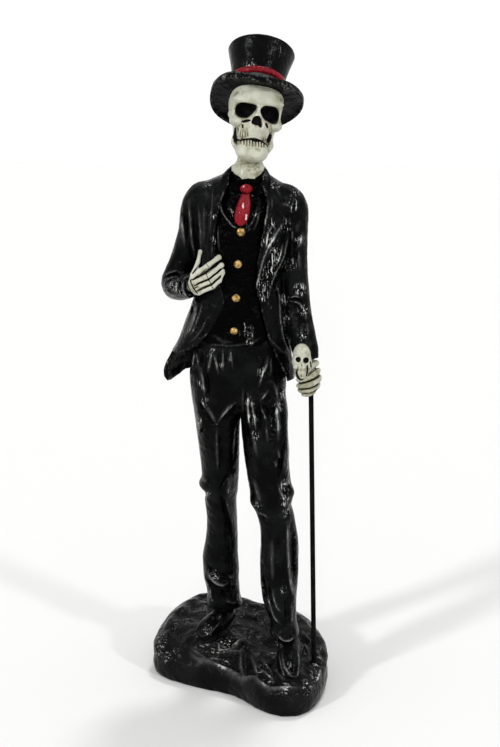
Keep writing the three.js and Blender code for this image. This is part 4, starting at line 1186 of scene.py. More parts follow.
COAT_TRACES = [
    (-0.8, 0.9, 0.2, [(187, 203), (188, 222), (190, 236), (191, 250), (194, 262)]),
    (0.9, 1.2, 0.3, [(189, 200), (190, 215), (191, 232), (193, 246), (197, 258)]),
    (1, 1, 0.3, [(182, 216), (183, 230), (185, 246)]),
    (-0.8, 0.9, 0.3, [(185, 212), (186, 228), (187, 244)]),
    (0.6, 1.2, 0.3, [(198, 205), (200, 225), (201, 250)]), (0.4, 1, 0.3, [(204, 205), (204, 245)]),
    (0.5, 0.5, 0.2, [(213, 186), (212, 205), (211, 220), (210, 234)]),
    (0.5, 0.5, 0.3, [(212, 242), (212, 258)]),
    (-0.7, 0.6, 0.3, [(164, 279), (168, 275), (174, 273), (180, 275), (184, 280)]),
    (0.6, 0.6, 0.3, [(165, 276), (169, 272.5), (175, 270.5), (181, 272)]),
    (-0.5, 0.5, 0.3, [(166, 284), (171, 280), (177, 279), (181, 284)]),
    (-0.4, 0.5, 0.3, [(170, 290), (175, 285), (179, 288)]),
    (0.5, 0.8, 0.3, [(164, 285), (168, 291), (173, 294), (181, 293)]),
    (0.8, 0.7, 0.1, [(184, 280), (183, 286), (185, 293), (189, 297)]),
    (-0.5, 0.5, 0.1, [(181, 281), (180, 287), (182, 294)]),
    (-0.4, 1, 0.3, [(183, 250), (176, 262), (168, 272)]),
    (0.9, 0.9, 0.3, [(197, 302), (195, 314), (191, 327), (185, 337)]),
    (-0.7, 0.6, 0.3, [(193, 306), (192, 314)]),
    (0.7, 0.7, 0.3, [(202, 303), (199, 315), (193, 330), (187, 338)]),
    (-0.8, 0.6, 0.3, [(200, 310), (196, 325), (189, 337)]),
    (0.6, 0.6, 0.3, [(206, 318), (203, 327), (196, 337), (190, 342)]),
    (-0.5, 0.5, 0.3, [(206, 330), (199, 338)]),
    (0.7, 0.6, 0.3, [(269, 199), (267, 212), (265, 222), (264, 231)]),
    (0.6, 0.5, 0.3, [(272, 198), (272, 209)]), (0.7, 0.6, 0.3, [(263, 207), (260, 222), (257, 241)]),
    (-0.6, 0.5, 0.3, [(266, 196), (264, 212), (262, 226)]),
    (0.5, 0.5, 0.3, [(275, 184), (277, 190), (281, 196)]), (0.4, 0.5, 0.3, [(266, 172), (267, 182)]),
    (-0.5, 0.6, 0.3, [(268, 183), (267, 197)]),
    (1, 0.7, 0.2, [(266, 248), (267, 238), (269, 231), (274, 225)]),
    (1, 0.8, 0.2, [(268, 246), (272, 240), (277, 232), (281, 226), (284, 223)]),
    (0.6, 0.8, 0.3, [(273, 224), (275, 230), (272, 236)]),
    (-0.8, 0.8, 0.3, [(271, 233), (273, 229), (275, 236), (271, 240)]),
    (0.5, 0.5, 0.3, [(276, 242), (279, 239)]),
    (1, 0.7, 0.15, [(279, 231), (272, 241), (267, 250), (263, 260), (260, 272), (257, 284),
        (256, 292)]),
    (-0.7, 0.8, 0.2, [(276, 243), (271, 252), (268, 262), (265, 274)]),
    (1, 0.8, 0.2, [(289, 236), (286, 246), (284, 256), (280, 265), (275, 274), (272, 284)]),
    (0.8, 0.7, 0.3, [(283, 243), (281, 252), (278, 261), (274, 268)]),
    (-1, 0.7, 0.2, [(290, 233), (288, 245), (285, 258), (280, 268), (274, 278)]),
    (-1, 0.7, 0.1, [(289, 250), (287, 260), (283, 270), (276, 280), (274, 285), (278, 296), (280, 310),
        (283, 328), (286, 342), (290, 351)]),
    (0.9, 0.6, 0.2, [(277, 288), (279, 296), (280, 312), (282, 328), (285, 342), (288, 349)]),
    (0.7, 0.8, 0.5, [(263, 285), (265, 288)]), (0.7, 0.8, 0.5, [(262, 296), (262, 301)]),
    (0.7, 0.5, 0.5, [(268, 301), (268, 306)]), (0.6, 0.5, 0.5, [(271, 306), (271, 310)]),
    (0.6, 0.5, 0.5, [(271, 284), (270, 292)]), (0.5, 0.6, 0.5, [(258, 290), (258, 300)]),
    (0.5, 0.6, 0.5, [(274, 291), (277, 289)]), (-0.5, 0.8, 0.5, [(266, 291), (265, 298)]),
    (0.8, 0.8, 0.3, [(292, 229), (292, 240)]), (0.9, 1, 0.3, [(302, 232), (300, 243), (296, 250)]),
    (0.7, 1, 0.3, [(299, 250), (299, 262), (300, 270)]),
    (-0.8, 1, 0.3, [(295, 235), (296, 250), (294, 262)]),
    (0.7, 1.1, 0.3, [(299, 281), (303, 288), (305, 287)]),
    (0.9, 0.6, 0.3, [(289, 298), (295, 296), (301, 298)]),
    (-0.8, 0.7, 0.3, [(290, 299.5), (297, 300), (303, 303)]),
    (0.9, 0.7, 0.3, [(291, 301), (297, 302), (301, 305), (302, 310)]),
    (-0.6, 0.7, 0.3, [(293, 305), (298, 308)]), (0.8, 0.6, 0.3, [(305, 312), (306, 320)]),
    (0.4, 0.8, 0.3, [(295, 316), (297, 320)]), (0.5, 1, 0.3, [(302, 325), (302, 336)]),
    (0.5, 0.9, 0.3, [(307, 322), (308, 334)]), (-0.4, 0.8, 0.3, [(304, 322), (305, 338)]),
    (0.6, 0.9, 0.3, [(281, 205), (286, 204), (290, 207)]), (0.6, 0.9, 0.3, [(289, 196), (293, 195)]),
    (-0.5, 0.8, 0.3, [(280, 200), (286, 201)]), (-0.4, 1, 0.3, [(276, 212), (282, 209)]),
    (0.4, 1.2, 0.3, [(300, 222), (297, 228), (299, 232)]),
    (0.5, 0.6, 0.1, [(256, 315), (262, 331), (266, 340), (271, 351), (276, 362), (280, 373)]),
    (0.35, 0.6, 0.2, [(266, 333), (272, 341), (280, 349), (287, 355)]),
    (-0.35, 0.6, 0.2, [(264, 336), (270, 345), (277, 352)]),
]

COAT_PATCHES = [
    (268, 240, 9, 0.9), (276, 255, 9, 0.9), (270, 268, 8, 1), (264, 282, 9, 1), (262, 294, 9, 0.9),
    (285, 225, 9, 0.7), (292, 205, 8, 0.6), (296, 192, 7, 0.5), (270, 222, 7, 0.8), (283, 300, 7, 0.7),
    (286, 320, 6, 0.8), (289, 340, 5, 0.6), (300, 290, 8, 0.7), (303, 310, 7, 0.6), (303, 335, 7, 0.6),
    (174, 286, 8, 1), (166, 291, 7, 0.9), (182, 294, 7, 0.7), (180, 225, 9, 0.4), (208, 184, 7, 0.5),
    (213, 215, 5, 0.6), (214, 240, 5, 0.6), (222, 208, 6, 0.5), (275, 185, 6, 0.8), (263, 176, 5, 0.6),
    (196, 330, 5, 0.3), (168, 360, 6, 0.3), (300, 240, 7, 0.5), (290, 265, 8, 0.7),
]

COAT_BACK = [
    (-0.7, 1, 0.2, [(4.6, 318), (4.4, 280), (3.4, 240), (0, 212)]),
    (0.8, 2, 0.3, [(-16, 306), (-13, 290), (-12, 272)]),
    (-0.7, 1.6, 0.3, [(-20, 300), (-17, 282), (-16, 262)]),
    (0.8, 2, 0.3, [(24, 306), (20, 290), (18, 272)]),
    (-0.7, 1.6, 0.3, [(28, 298), (24, 282), (22, 262)]),
    (0.7, 1.4, 0.3, [(-22, 250), (-12, 245), (-2, 244)]), (-0.6, 1.2, 0.3, [(-20, 246), (-10, 241)]),
    (0.7, 1.4, 0.3, [(26, 252), (16, 246), (8, 244)]),
    (0.7, 1.4, 0.3, [(-8, 322), (4, 319.5), (16, 321)]),
    (-0.7, 1, 0.3, [(-10, 316), (4, 313.6), (18, 315)]),
    (0.9, 2.2, 0.3, [(-30, 240), (-31, 220), (-34, 202)]),
    (0.9, 2.2, 0.3, [(22, 236), (24, 216), (26, 200)]),
    (0.7, 1.8, 0.3, [(-14, 236), (-17, 216), (-20, 202)]),
    (-0.8, 1, 0.3, [(-40, 262), (-35, 259), (-31, 258)]),
    (0.7, 0.9, 0.3, [(-41, 265), (-35, 262), (-30, 262)]),
    (-0.8, 1, 0.3, [(31, 254), (36, 252), (41, 254)]),
    (0.7, 0.9, 0.3, [(31, 258), (36, 256), (41, 258)]),
]


def make_coat(material):
    clay = Clay((-49, -31, 191), (49, 26, 330), grid(0.5))
    x, y, z = clay.spread()
    wavy = folds(COAT_FOLDS)
    clay.put(column(COAT, COAT_POWER, fold=wavy))
    grown = clay.d - LAPEL_RISE
    clay.keep(-clay.alone(slab(COAT_OPENING, -3)))
    clay.keep(-clay.alone(slab(SWUNG_SIDE, 3)))
    hollow = clay.alone(column(SKIRT_HOLLOW, COAT_POWER, grow=0.2, fold=wavy, caps=False))
    clay.keep(-np.maximum(hollow, z - SKIRT_ROOF))
    for outline in (RIGHT_LAPEL, LEFT_LAPEL):
        clay.d = blend_min(clay.d, np.maximum(grown, clay.alone(slab(outline, -4))), 0.3)
    tail = np.interp(x, *np.transpose(TAIL_RISE))
    clay.keep(HEM_LEVEL + HEM_SLOPE * (x + 4) + tail + 1.3 - z)
    for sleeve in (RIGHT_SLEEVE, LEFT_SLEEVE):
        slim = [[a, b, c, SLEEVE_SHARE * radius] for a, b, c, radius in sleeve]
        for k, piece in enumerate(rods(slim, 40)):
            clay.put(piece, max(0.8, 3.2 - 0.4 * k))
    clay.put_line(COLLAR, 30, 0.6)
    clay.put(egg(*LEFT_CUFF_HOLE), 1.2, cut=True)
    clay.put(rod(*RIGHT_CUFF_HOLE), 0.6, cut=True)
    traced = laid_strokes(COAT_TRACES)
    clay.carve(traced, 1 - ease(y, -2, 6), 2.1)
    clay.carve(COAT_BACK, ease(y, 2, 9))
    fire("coat_cast", clay, on_figure, material, triangles=40000, rough=0.18, grain=3.6, seed=51,
         spots=laid_spots(COAT_PATCHES), flake=0.5, lines=traced)


# Tie and buttons

TIE_BLADE = [
    [293.2, 2.7, -20.8, 1.2, 0.9], [295.2, 2.8, -20.8, 3.2, 1.4], [298, 3.1, -20.6, 4.1, 1.8],
    [302, 3.8, -20.1, 4.3, 2], [307, 4.7, -19, 3.5, 1.9], [311.4, 5.4, -17.8, 2.3, 1.8],
]
TIE_PINCH = 312

TIE_STROKES = [
    (0.3, 0.6, 0.3, [(2.2, 309), (1.6, 302), (1.4, 297)]),
    (-0.3, 0.5, 0.3, [(4.6, 308.6), (4.2, 303), (3.6, 298)]), (0.3, 0.5, 0.3, [(5.8, 307), (5.6, 301)]),
    (-0.35, 0.4, 0.3, [(4.4, 312.6), (5, 315.4)]), (-0.35, 0.4, 0.3, [(7.2, 312.4), (7, 315)]),
]

# Painted highlight lines on the tie, as strokes (rise, half width, taper, [x, z])
TIE_PAINTED_HIGHLIGHTS = [
    (1, 0.75, 0.3, [(4.1, 307), (3.8, 302.5)]), (1, 0.8, 0.3, [(6.1, 301), (5.4, 296)]),
    (0.7, 0.7, 0.3, [(3.4, 315.4), (5.2, 316)]), (0.5, 0.5, 0.3, [(2.4, 305), (1.6, 299)]),
]

BUTTONS = [
    [2.8, -22, 289.7, 2.55], [1, -23.1, 271.1, 2.45], [-0.2, -24.3, 251.2, 2.5],
    [-1.4, -25.5, 231.9, 2.3],
]


def make_tie(material):
    clay = Clay((-4, -26, 290), (13, -12, 319), grid(0.3))
    clay.put(egg((5.8, -17.4, 314.2), (3.7, 2.7, 2.7)))
    clay.put(column(TIE_BLADE, 2.2), 0.4)
    clay.put(rod((2.6, -20, 311.4), (9, -19.6, 311.2), 0.5), 0.5, cut=True)
    clay.carve(TIE_STROKES)

    def ink(p):
        knot = p[:, 2] > TIE_PINCH
        return 1 - ease(-p[:, 1], 17.2, 18.6) * (p[:, 2] < TIE_PINCH) - knot
    fire("tie_cast", clay, on_figure, material, triangles=3000, rough=0.08, grain=2.2, seed=61,
         ink=ink, lines=TIE_PAINTED_HIGHLIGHTS)


def make_buttons(material):
    for number, (bx, by, bz, radius) in enumerate(BUTTONS):
        clay = Clay((bx - 4, by - 3, bz - 4), (bx + 4, by + 4, bz + 4), grid(0.2))
        clay.put(egg((bx, by + 0.2, bz), (radius, 1.6, radius)))
        fire("button_cast_%d" % number, clay, on_figure, material, triangles=900, rough=0.05, grain=1.2,
             seed=70 + number, reach=0.5)


# Head

SIDES = (-1, 1)     # the figure's right, then its left

LEFT_EYE = [
    (-12.4, -1), (-12, 1.2), (-9.7, 2.9), (-6.4, 3.2), (-3.4, 3), (-1.2, 2.3), (-1.2, 0.2),
    (-2.9, -2.4), (-5, -4.4), (-7.2, -5), (-10, -4.8), (-12, -3.2),
]

RIGHT_EYE = [
    (1.8, 1), (3.9, 2.8), (7.2, 3.2), (10.6, 2.7), (12.5, 0.5), (12.9, -2.6), (12, -5.2), (10, -6),
    (7.5, -5.3), (5, -4.2), (2.5, -1.3),
]

NOSE = [
    (-1, -3.4), (0.8, -2.9), (2.4, -4.5), (3.3, -7.4), (3.1, -8.8), (2.3, -8.8), (1.2, -7.9), (0.2, -8),
    (-1.1, -7.8), (-2.6, -7.1), (-2.1, -5.1),
]

NOSE_PITS = [
    [[-7.7, -7.3, 0.6], [-5.6, -6.5, 1.1], [-3.6, -5.9, 0.5]], [[5.9, -6.9, 1], [6.7, -8.3, 0.9]],
    [[-7.6, -9.2, 0.5], [-7.3, -10.4, 0.6]],
]

LEFT_HOLLOW = [
    (-12.6, -11.6), (-10.2, -11.6), (-9.4, -15.2), (-8.4, -19.8), (-9.8, -20), (-11.6, -16.6),
]

RIGHT_HOLLOW = [(8.7, -13.9), (11.4, -12.4), (11.2, -15.7), (9.8, -18.4), (8.5, -17.2)]

MOUTH = [
    (-8.8, -18.9, 0.5), (-7.4, -18, 0.6), (-4.3, -16.8, 0.6), (-0.6, -15.9, 0.95), (2.1, -16.2, 0.9),
    (4.8, -17, 0.6), (7.8, -18.2, 0.5), (9.2, -19.4, 0.4),
]

LOWER_TEETH = [
    [(-7.2, -18.2), (-6.9, -20.2)], [(-5.6, -17.5), (-5.3, -20)], [(-4, -17.4), (-3.7, -20.3)],
    [(-2.4, -17), (-2.1, -20.2)], [(-0.7, -17.2), (-0.4, -20)], [(1.2, -17.2), (1.6, -20)],
    [(2.9, -17.2), (3.3, -20.1)], [(4.6, -17.5), (5, -20.2)], [(6.2, -18), (6.5, -20)],
]

UPPER_TEETH = [
    [(-8.2, -12.8), (-8, -16.4)], [(-7, -12.6), (-6.7, -16.6)], [(-5.6, -12.8), (-5.3, -16)],
    [(-4.2, -12.4), (-3.9, -15.2)], [(6.7, -14.8), (7, -17.2)], [(5.2, -15), (5.4, -16.6)],
]

HEAD_STROKES = [
    (-0.35, 1.2, 0.3, [(-10, 9), (-8, 10.4), (-5, 10.8)]),
    (0.3, 1.6, 0.3, [(-12, 5), (-6, 5.6), (-1, 4.4)]), (0.35, 1.4, 0.3, [(2, 4.6), (7, 5.4), (12, 4)]),
    (-0.5, 1, 0.3, [(0.4, 4.6), (0.6, 2.6)]),
    (0.35, 0.7, 0.3, [(-3.4, -9.8), (-3, -12.6), (-3.2, -14.6)]),
    (0.3, 0.8, 0.3, [(1, -9.4), (1.6, -12), (1, -14)]),
    (-0.3, 0.8, 0.3, [(3.6, -10), (4.4, -12.6), (3.8, -14.8)]),
    (-0.3, 0.7, 0.3, [(-1, -10.2), (-0.8, -13)]), (0.3, 1, 0.3, [(-6, -25), (0, -26.8), (6, -25)]),
    (-0.3, 1, 0.3, [(-4, -22.4), (1, -23), (5, -22.4)]), (-0.3, 1.4, 0.4, [(10.4, -19), (9.4, -23)]),
]

# Stains round sockets, cheeks and teeth, and painted shade under the brim and the chin: balls [x, y, z,
# radius, amount]
HEAD_STAINS_AND_SHADE = [
    [0, -17, -17.6, 4, 0.95], [-5, -16, -16.8, 4, 0.9], [5.4, -16, -17.6, 4, 0.9],
    [-9, -12, -18.6, 3.6, 1], [9.4, -12, -18.8, 3.4, 1], [-6.4, -16, -12.6, 4, 0.8],
    [5.4, -16, -13.4, 4, 0.7], [-10.8, -10, -14.6, 3.4, 1], [10.4, -10, -15, 3.2, 0.9],
    [-3, -16, -3.6, 3.4, 0.55], [-10.6, -14, -4.4, 3, 0.5], [3.8, -16, -4.6, 3, 0.55],
    [11.6, -14, -5.6, 3.2, 0.5], [0.6, -17, -8.6, 3.6, 0.6], [-6.6, -14, -6.6, 2.6, 0.75],
    [6.4, -14, -7.6, 2.4, 0.8], [0.4, -17, 3, 3, 0.4], [-7, -14, 3.6, 3, 0.35],
    [7, -14, 3.8, 3, 0.35], [1, -10, -29.5, 6, 0.5], [13.2, -4, -9, 5, 0.5],
    [-13, -4, -7, 4, 0.4], [-12.6, -11, -1, 2.6, 0.6], [-7, -14, -5.6, 3, 0.6],
    [12.8, -12, 0, 2.6, 0.6], [9, -14, -6.8, 3, 0.6], [-12, -10, 9, 5, 0.5], [12.5, -10, 9, 5, 0.55],
    [0, -14, 13, 5, 0.35], [-3, -17, -21, 3, 0.6], [3.4, -17, -21.2, 3, 0.6], [-8.8, -12, -22.6, 3, 0.6],
    [9.6, -9, -22.8, 3, 0.75],
]


def add_skull(clay):
    """Brain case, brow and cheekbones."""
    put = clay.put
    put(egg((0, 3, 3), (15.9, 19, 18)))
    put(egg((0, -4, 8), (14.2, 13.4, 9)), 4)
    for s, wide in zip(SIDES, (0.945, 1)):
        cheek = s * wide
        put(egg((6.6 * s, -12.2, 5.2), (8.2, 4.2, 2.6)), 3.4)
        put(egg((11.4 * cheek, -9.2, -7.4), (4.4, 6.4, 3.6)), 2.2)
        put(rod((12.6 * cheek, -8, -7.4), (14.2 * cheek, 4, -4.6), 2.0), 1.2)
        put(rod((12.8 * s, -7.8, 4), (12.4 * s, -9, -6.6), 1.8), 1.6)


def add_face(clay):
    """Bridge of the nose, upper jaw and lower jaw."""
    put = clay.put
    put(rod((0, -15.6, 3.4), (0.4, -17.4, -4), 2.0), 1.6)
    put(egg((0.2, -11.2, -10.4), (8.6, 7.2, 7.4)), 2.4)
    put(egg((-0.2, -11, -14), (8.2, 6.4, 4.4)), 1.6)
    put(rod((-6.8, -12.4, -11.6), (-7.6, -11, -15.6), 2.2), 1.2)
    put(egg((0.4, -10.8, -24.2), (8.8, 6.6, 5.4)), 1)
    put(egg((0.4, -11.6, -19.6), (8.0, 5.6, 4)), 1.6)
    for s, tuck in zip(SIDES, (1.5, 0)):
        put(rod((4.6 * s, -12.4, -24.6), ((9.4 - tuck) * s, -1, -19.4), 4), 2)
        put(rod(((9.8 - tuck) * s, -1, -18.6), ((12.2 - 0.8 * tuck) * s, 2.6, -5.4), 2.9, 2.4,
                (1, 0, 0), 0.8), 1.6)
    put(egg((0.4, -4, -26), (6.5, 8, 4)), 3)


def cut_openings(clay):
    """Sockets, nose, cheek hollows, teeth and mouth."""
    for outline in (LEFT_EYE, RIGHT_EYE):
        across, up = np.mean(outline, axis=0)
        clay.put(slab(softened(outline), -10.4, grow=0.55), 0.7, cut=True)
        clay.put(egg((across, -11, up), (5.2, 5.4, 3.9)), 1.2, cut=True)
    clay.put(slab(softened(NOSE), -13.4, grow=0.3), 0.4, cut=True)
    for pit, steps, sink in zip(NOSE_PITS, (12, 4, 4), (0.3, 0.4, 0.2)):
        clay.groove(pit, steps, sink=sink)
    for outline, far in ((LEFT_HOLLOW, -4), (RIGHT_HOLLOW, -5)):
        clay.put(slab(softened(outline), far, grow=0.5), 0.6, cut=True)
    for teeth, first, last, sink in ((LOWER_TEETH, 0.5, 0.3, 0.15), (UPPER_TEETH, 0.25, 0.42, 0.1)):
        for start, end in teeth:
            clay.groove([[*start, first], [*end, last]], 6, sink=sink)
    clay.groove(MOUTH, 26, sink=0.7)


def cut_under_hat(clay):
    """Cuts the head off under the hat's brim, which slopes up a little to the back."""
    x, y, z = clay.spread()
    probe = figure_to_hat(head_to_figure(np.vstack([np.zeros(3), np.eye(3)])))
    base, slopes = probe[0], probe[1:] - probe[0]
    for fall, height in ((0, -0.5), (0.1, -0.3)):
        tilt = slopes[:, 2] + fall * slopes[:, 1]
        start = base[2] + fall * base[1] - height
        clay.keep(start + tilt[0] * x + tilt[1] * y + tilt[2] * z)


def head_ink(p):
    """Black paint in the sockets, nose, cheek hollows, mouth and between the teeth."""
    total = np.zeros(len(p))
    for outline, rim, full, back in (
            (LEFT_EYE, 0.35, 1, -4.6), (RIGHT_EYE, 0.35, 1, -4.6), (NOSE, 0.15, 1, -4.6),
            (LEFT_HOLLOW, 0.15, 1, -0.6), (RIGHT_HOLLOW, 0.1, 0.85, -0.6)):
        d = area_distance(softened(outline), p[:, 0], p[:, 2])
        painted = full * (1 - ease(d, -0.35 + rim, 0.3 + rim))
        total = np.maximum(total, painted * (1 - ease(p[:, 1], back - 1.4, back)))
    front = 1 - ease(p[:, 1], -6, -4.6)
    lips = [(x, z) for x, z, r in MOUTH] + [(x, z - 0.3) for x, z, r in MOUTH[::-1]]
    line = 1 - ease(area_distance(softened(lips, 2), p[:, 0], p[:, 2]), 0.02, 0.42)
    gape = 1 - ease(np.hypot((p[:, 0] - 1.0) / 2.8, p[:, 2] + 16.6), 0.8, 1.2)
    gaps = [[[*start, 0.42], [*end, 0.16]] for start, end in LOWER_TEETH]
    small = np.maximum(0.95 * inked(NOSE_PITS, p, 0.9), 0.62 * inked(gaps, p, 0.9))
    return np.maximum(total, np.maximum(np.maximum(line, gape), small) * front)


def make_head(material):
    clay = Clay((-18.6, -23.5, -33), (18.6, 22.5, 21), grid(0.28))
    add_skull(clay)
    add_face(clay)
    cut_openings(clay)
    clay.carve(HEAD_STROKES, 1 - ease(clay.spread()[1], -10, -4))
    cut_under_hat(clay)
    fire("head_cast", clay, on_head, material, triangles=38000, rough=0.07, grain=2.4, seed=81,
         ink=head_ink, spots=HEAD_STAINS_AND_SHADE)


# Neck

NECK = [
    [311, 6.8, -1, 10.6, 11.4], [318, 6.8, -0.9, 10.4, 11.6], [322, 6.8, -0.7, 10.2, 11.2],
    [325.6, 6.9, -0.3, 9.8, 10.2], [327.6, 7.3, 0.1, 8.5, 8.8], [329.6, 7.7, 0.4, 7.5, 7.7],
    [334, 8.3, 0.8, 7.3, 7.3], [343, 9.6, 0.6, 7.2, 6.4], [350, 10.6, 1.2, 6.2, 5.4],
]
NECK_STROKES = [
    (0.5, 1.0, 0.3, [(3.4, 313), (3.6, 322), (5, 330)]),
    (-0.5, 1.2, 0.3, [(6.6, 314), (7, 322), (8, 330)]),
    (0.5, 1.0, 0.3, [(10.4, 314), (10.8, 322), (11, 330)]),
    (-0.4, 1.0, 0.3, [(0.6, 316), (1.6, 324)]),
]
# Painted highlight lines on the neck, as strokes (rise, half width, taper, [x, z])
NECK_PAINTED_HIGHLIGHTS = [
    (1, 1.5, 0.3, [(3.4, 327), (3.2, 320)]), (0.6, 0.9, 0.3, [(10, 323), (10, 318)]),
]
# Brown stain and painted shade on the neck under the chin: balls [x, y, z, radius, amount]
NECK_STAIN_AND_SHADE = [[8, -9, 331, 13, 0.95], [8, -9, 317, 13, 0.7], [13, -9, 321, 6, 1]]


def make_neck(material):
    clay = Clay((-7, -15, 309), (22, 14, 352), grid(0.45))
    clay.put(column(NECK))
    clay.carve(NECK_STROKES, 1 - ease(clay.spread()[1], -4, 2))
    fire("neck_cast", clay, on_figure, material, triangles=3000, rough=0.12, grain=2.6, seed=91,
         spots=NECK_STAIN_AND_SHADE, lines=NECK_PAINTED_HIGHLIGHTS)


# Hat

BRIM_RADIUS = 27.6
BRIM_INNER = 16
BRIM_TIP = 0.1
BRIM_LEVEL = 0.03
BRIM_DIP = 4.4
BRIM_ROUND = 0.9        # radius of the brim's edge
CROWN_TOP = 32.3
CROWN_ROUND = 1.7       # radius of the crown's upper edge
BAND_HEIGHT = 10.4
BAND_HALF = (1.7, 2.05)

CROWN = [
    [-1, 15.4], [1, 14.9], [5, 14.6], [12, 15.3], [20, 17], [27, 18.8], [31, 19.9], [33, 20.1],
]

FRONT_EDGE = [
    [-27.6, -0.6], [-24, 0.8], [-20, 1.2], [-17, 1], [-14, 0.4], [-11, -0.8], [-8, -2], [-4, -3.1],
    [0, -3.5], [4, -3.2], [8, -2.7], [11, -2.1], [14, -1.4], [17, -0.4], [20, 0.8], [24, 1.4],
    [27.6, 0.9],
]

HAT_PATCHES = [
    (251, 64, 6, 0.9), (245, 62, 4, 0.6), (278, 44, 5, 0.8), (283, 50, 4, 0.5), (224, 76, 4, 0.5),
    (236, 77, 3, 0.6), (246, 79, 3, 0.5), (258, 82, 3, 0.5), (286, 88, 4, 0.7), (300, 99, 3, 0.4),
    (214, 92, 4, 0.3), (225, 60, 4, 0.3), (270, 60, 4, 0.3),
]

BAND_PATCHES = [
    (240, 70, 4, 0.9), (248, 68, 4, 0.8), (260, 70, 4, 0.5), (275, 76, 4, 0.6),
]


def brim_level(x, y, reach):
    """Height of the bent brim: an uneven front edge, and sides that hang to the back."""
    edge_x = x / np.maximum(reach, 1) * BRIM_RADIUS
    edge = np.asarray(FRONT_EDGE, float)
    front = sum(np.interp(edge_x + step, edge[:, 0], edge[:, 1]) for step in range(-4, 5)) / 9
    back = BRIM_LEVEL * x - BRIM_TIP * y - BRIM_DIP * bell(x, 0, 0.4 * BRIM_RADIUS)
    share = ease(y, -9, 3)
    out = np.clip(reach - BRIM_INNER, 0, None) / (BRIM_RADIUS - BRIM_INNER)
    return out * (front * (1 - share) + back * share)


def rounded_edge(a, b, radius):
    """The meeting of two faces at distances a and b, rounded off."""
    a, b = a + radius, b + radius
    return np.hypot(np.maximum(a, 0), np.maximum(b, 0)) + np.minimum(np.maximum(a, b), 0) - radius


def make_hat(material):
    clay = Clay((-29.5, -29.5, -9), (29.5, 29.5, 34.5), grid(0.42))
    z = clay.spread()[2]
    x, y = clay.axes[0].astype(float)[:, None, None], clay.axes[1].astype(float)[None, :, None]
    reach = np.hypot(x, y)
    angle = np.arctan2(y, x)
    radius = BRIM_RADIUS + 0.5 * np.sin(3 * angle + 0.6) + 0.35 * np.sin(5 * angle + 2)
    half = 0.95 + 0.25 * bell(reach, radius - 1.2, 1.4)
    flat = np.abs(z - brim_level(x, y, reach)) - half
    edge = reach - radius
    over = np.maximum(edge + BRIM_ROUND, 0)
    inner = (flat < 0) & (edge < -BRIM_ROUND)
    brim = np.where(inner, np.maximum(flat, edge),
                    np.hypot(np.maximum(flat, 0), over) - BRIM_ROUND * (over > 0))
    clay.d = np.minimum(brim.astype(F), FAR)
    wall = np.interp(z, *np.transpose(CROWN)) * (1 + 0.012 * np.sin(2 * angle + 1))
    lid = z - CROWN_TOP + 0.012 * reach ** 2 * 0.16
    crown = np.maximum(rounded_edge((reach - wall) * 0.98, lid, CROWN_ROUND), -1.5 - z)
    clay.d = blend_min(clay.d, crown.astype(F), 1.6)
    clay.swell(0.3 * bell(reach, 17.6, 1.3) * (z < 4))

    def ink(p):
        around_band = 1 - ease(np.hypot(p[:, 0], p[:, 1]), 16.4, 17.2)
        return (1 - ease(p[:, 2], 8.6, 9.4)) * ease(p[:, 2], 3.6, 5) * around_band
    fire("hat_cast", clay, on_hat, material, triangles=14000, rough=0.1, grain=5, seed=101,
         spots=laid_spots(HAT_PATCHES, figure_to_hat), ink=ink)


def make_band(material):
    clay = Clay((-18.5, -18.5, 7), (18.5, 18.5, 14), grid(0.3))
    x, y, z = clay.spread()
    wide, tall = BAND_HALF
    ring = np.hypot((np.hypot(x, y) - 15.0) / wide, (z - BAND_HEIGHT) / tall)
    clay.d = ((ring - 1) * wide).astype(F)
    fire("band_cast", clay, on_hat, material, triangles=3500, rough=0.14, grain=2.2, seed=111,
         spots=laid_spots(BAND_PATCHES, figure_to_hat))


# Hands

CHEST_WRIST = [
    [-29.4, -15, 257.4, 3.2], [-27, -19, 257.8, 3.1], [-24.5, -24, 258.4, 3.5],
    [-21.5, -25.8, 259.6, 3.4],
]
CHEST_PALM = [[(-17.4, -24.2, 262), (7.6, 2.6, 5.8)], [(-23.4, -25.4, 258), (3.4, 2.8, 4.6)]]
CHEST_KNUCKLES = [(-16.6, -25.2, 263.2), (7.4, 3.0, 5.2)]

# Each finger is [[joint, ...], radius]; the last is the thumb
CHEST_RAYS = [
    [[[-25.2, -26.2, 264.0], [-22.4, -27.6, 267.0], [-16.3, -28.6, 271.1], [-10.0, -26.9, 275.6]], 1.6],
    [[[-24.6, -27.2, 261.0], [-16.6, -29.2, 264.8], [-12.4, -28.6, 267.8], [-8.6, -26.6, 271.0]], 1.65],
    [[[-23.6, -27.4, 257.6], [-15.2, -29.3, 262.0], [-11.4, -28.6, 264.9], [-8.2, -26.6, 267.6]], 1.6],
    [[[-22.0, -27.0, 254.8], [-13.7, -28.7, 258.7], [-9.8, -27.8, 262.2], [-8.0, -26.2, 266.4]], 1.5],
    [[[-27, -24.6, 260.4], [-25.6, -25.8, 265.4], [-22.2, -26.2, 272.6], [-20.8, -25.4, 278.8]], 1.2],
]

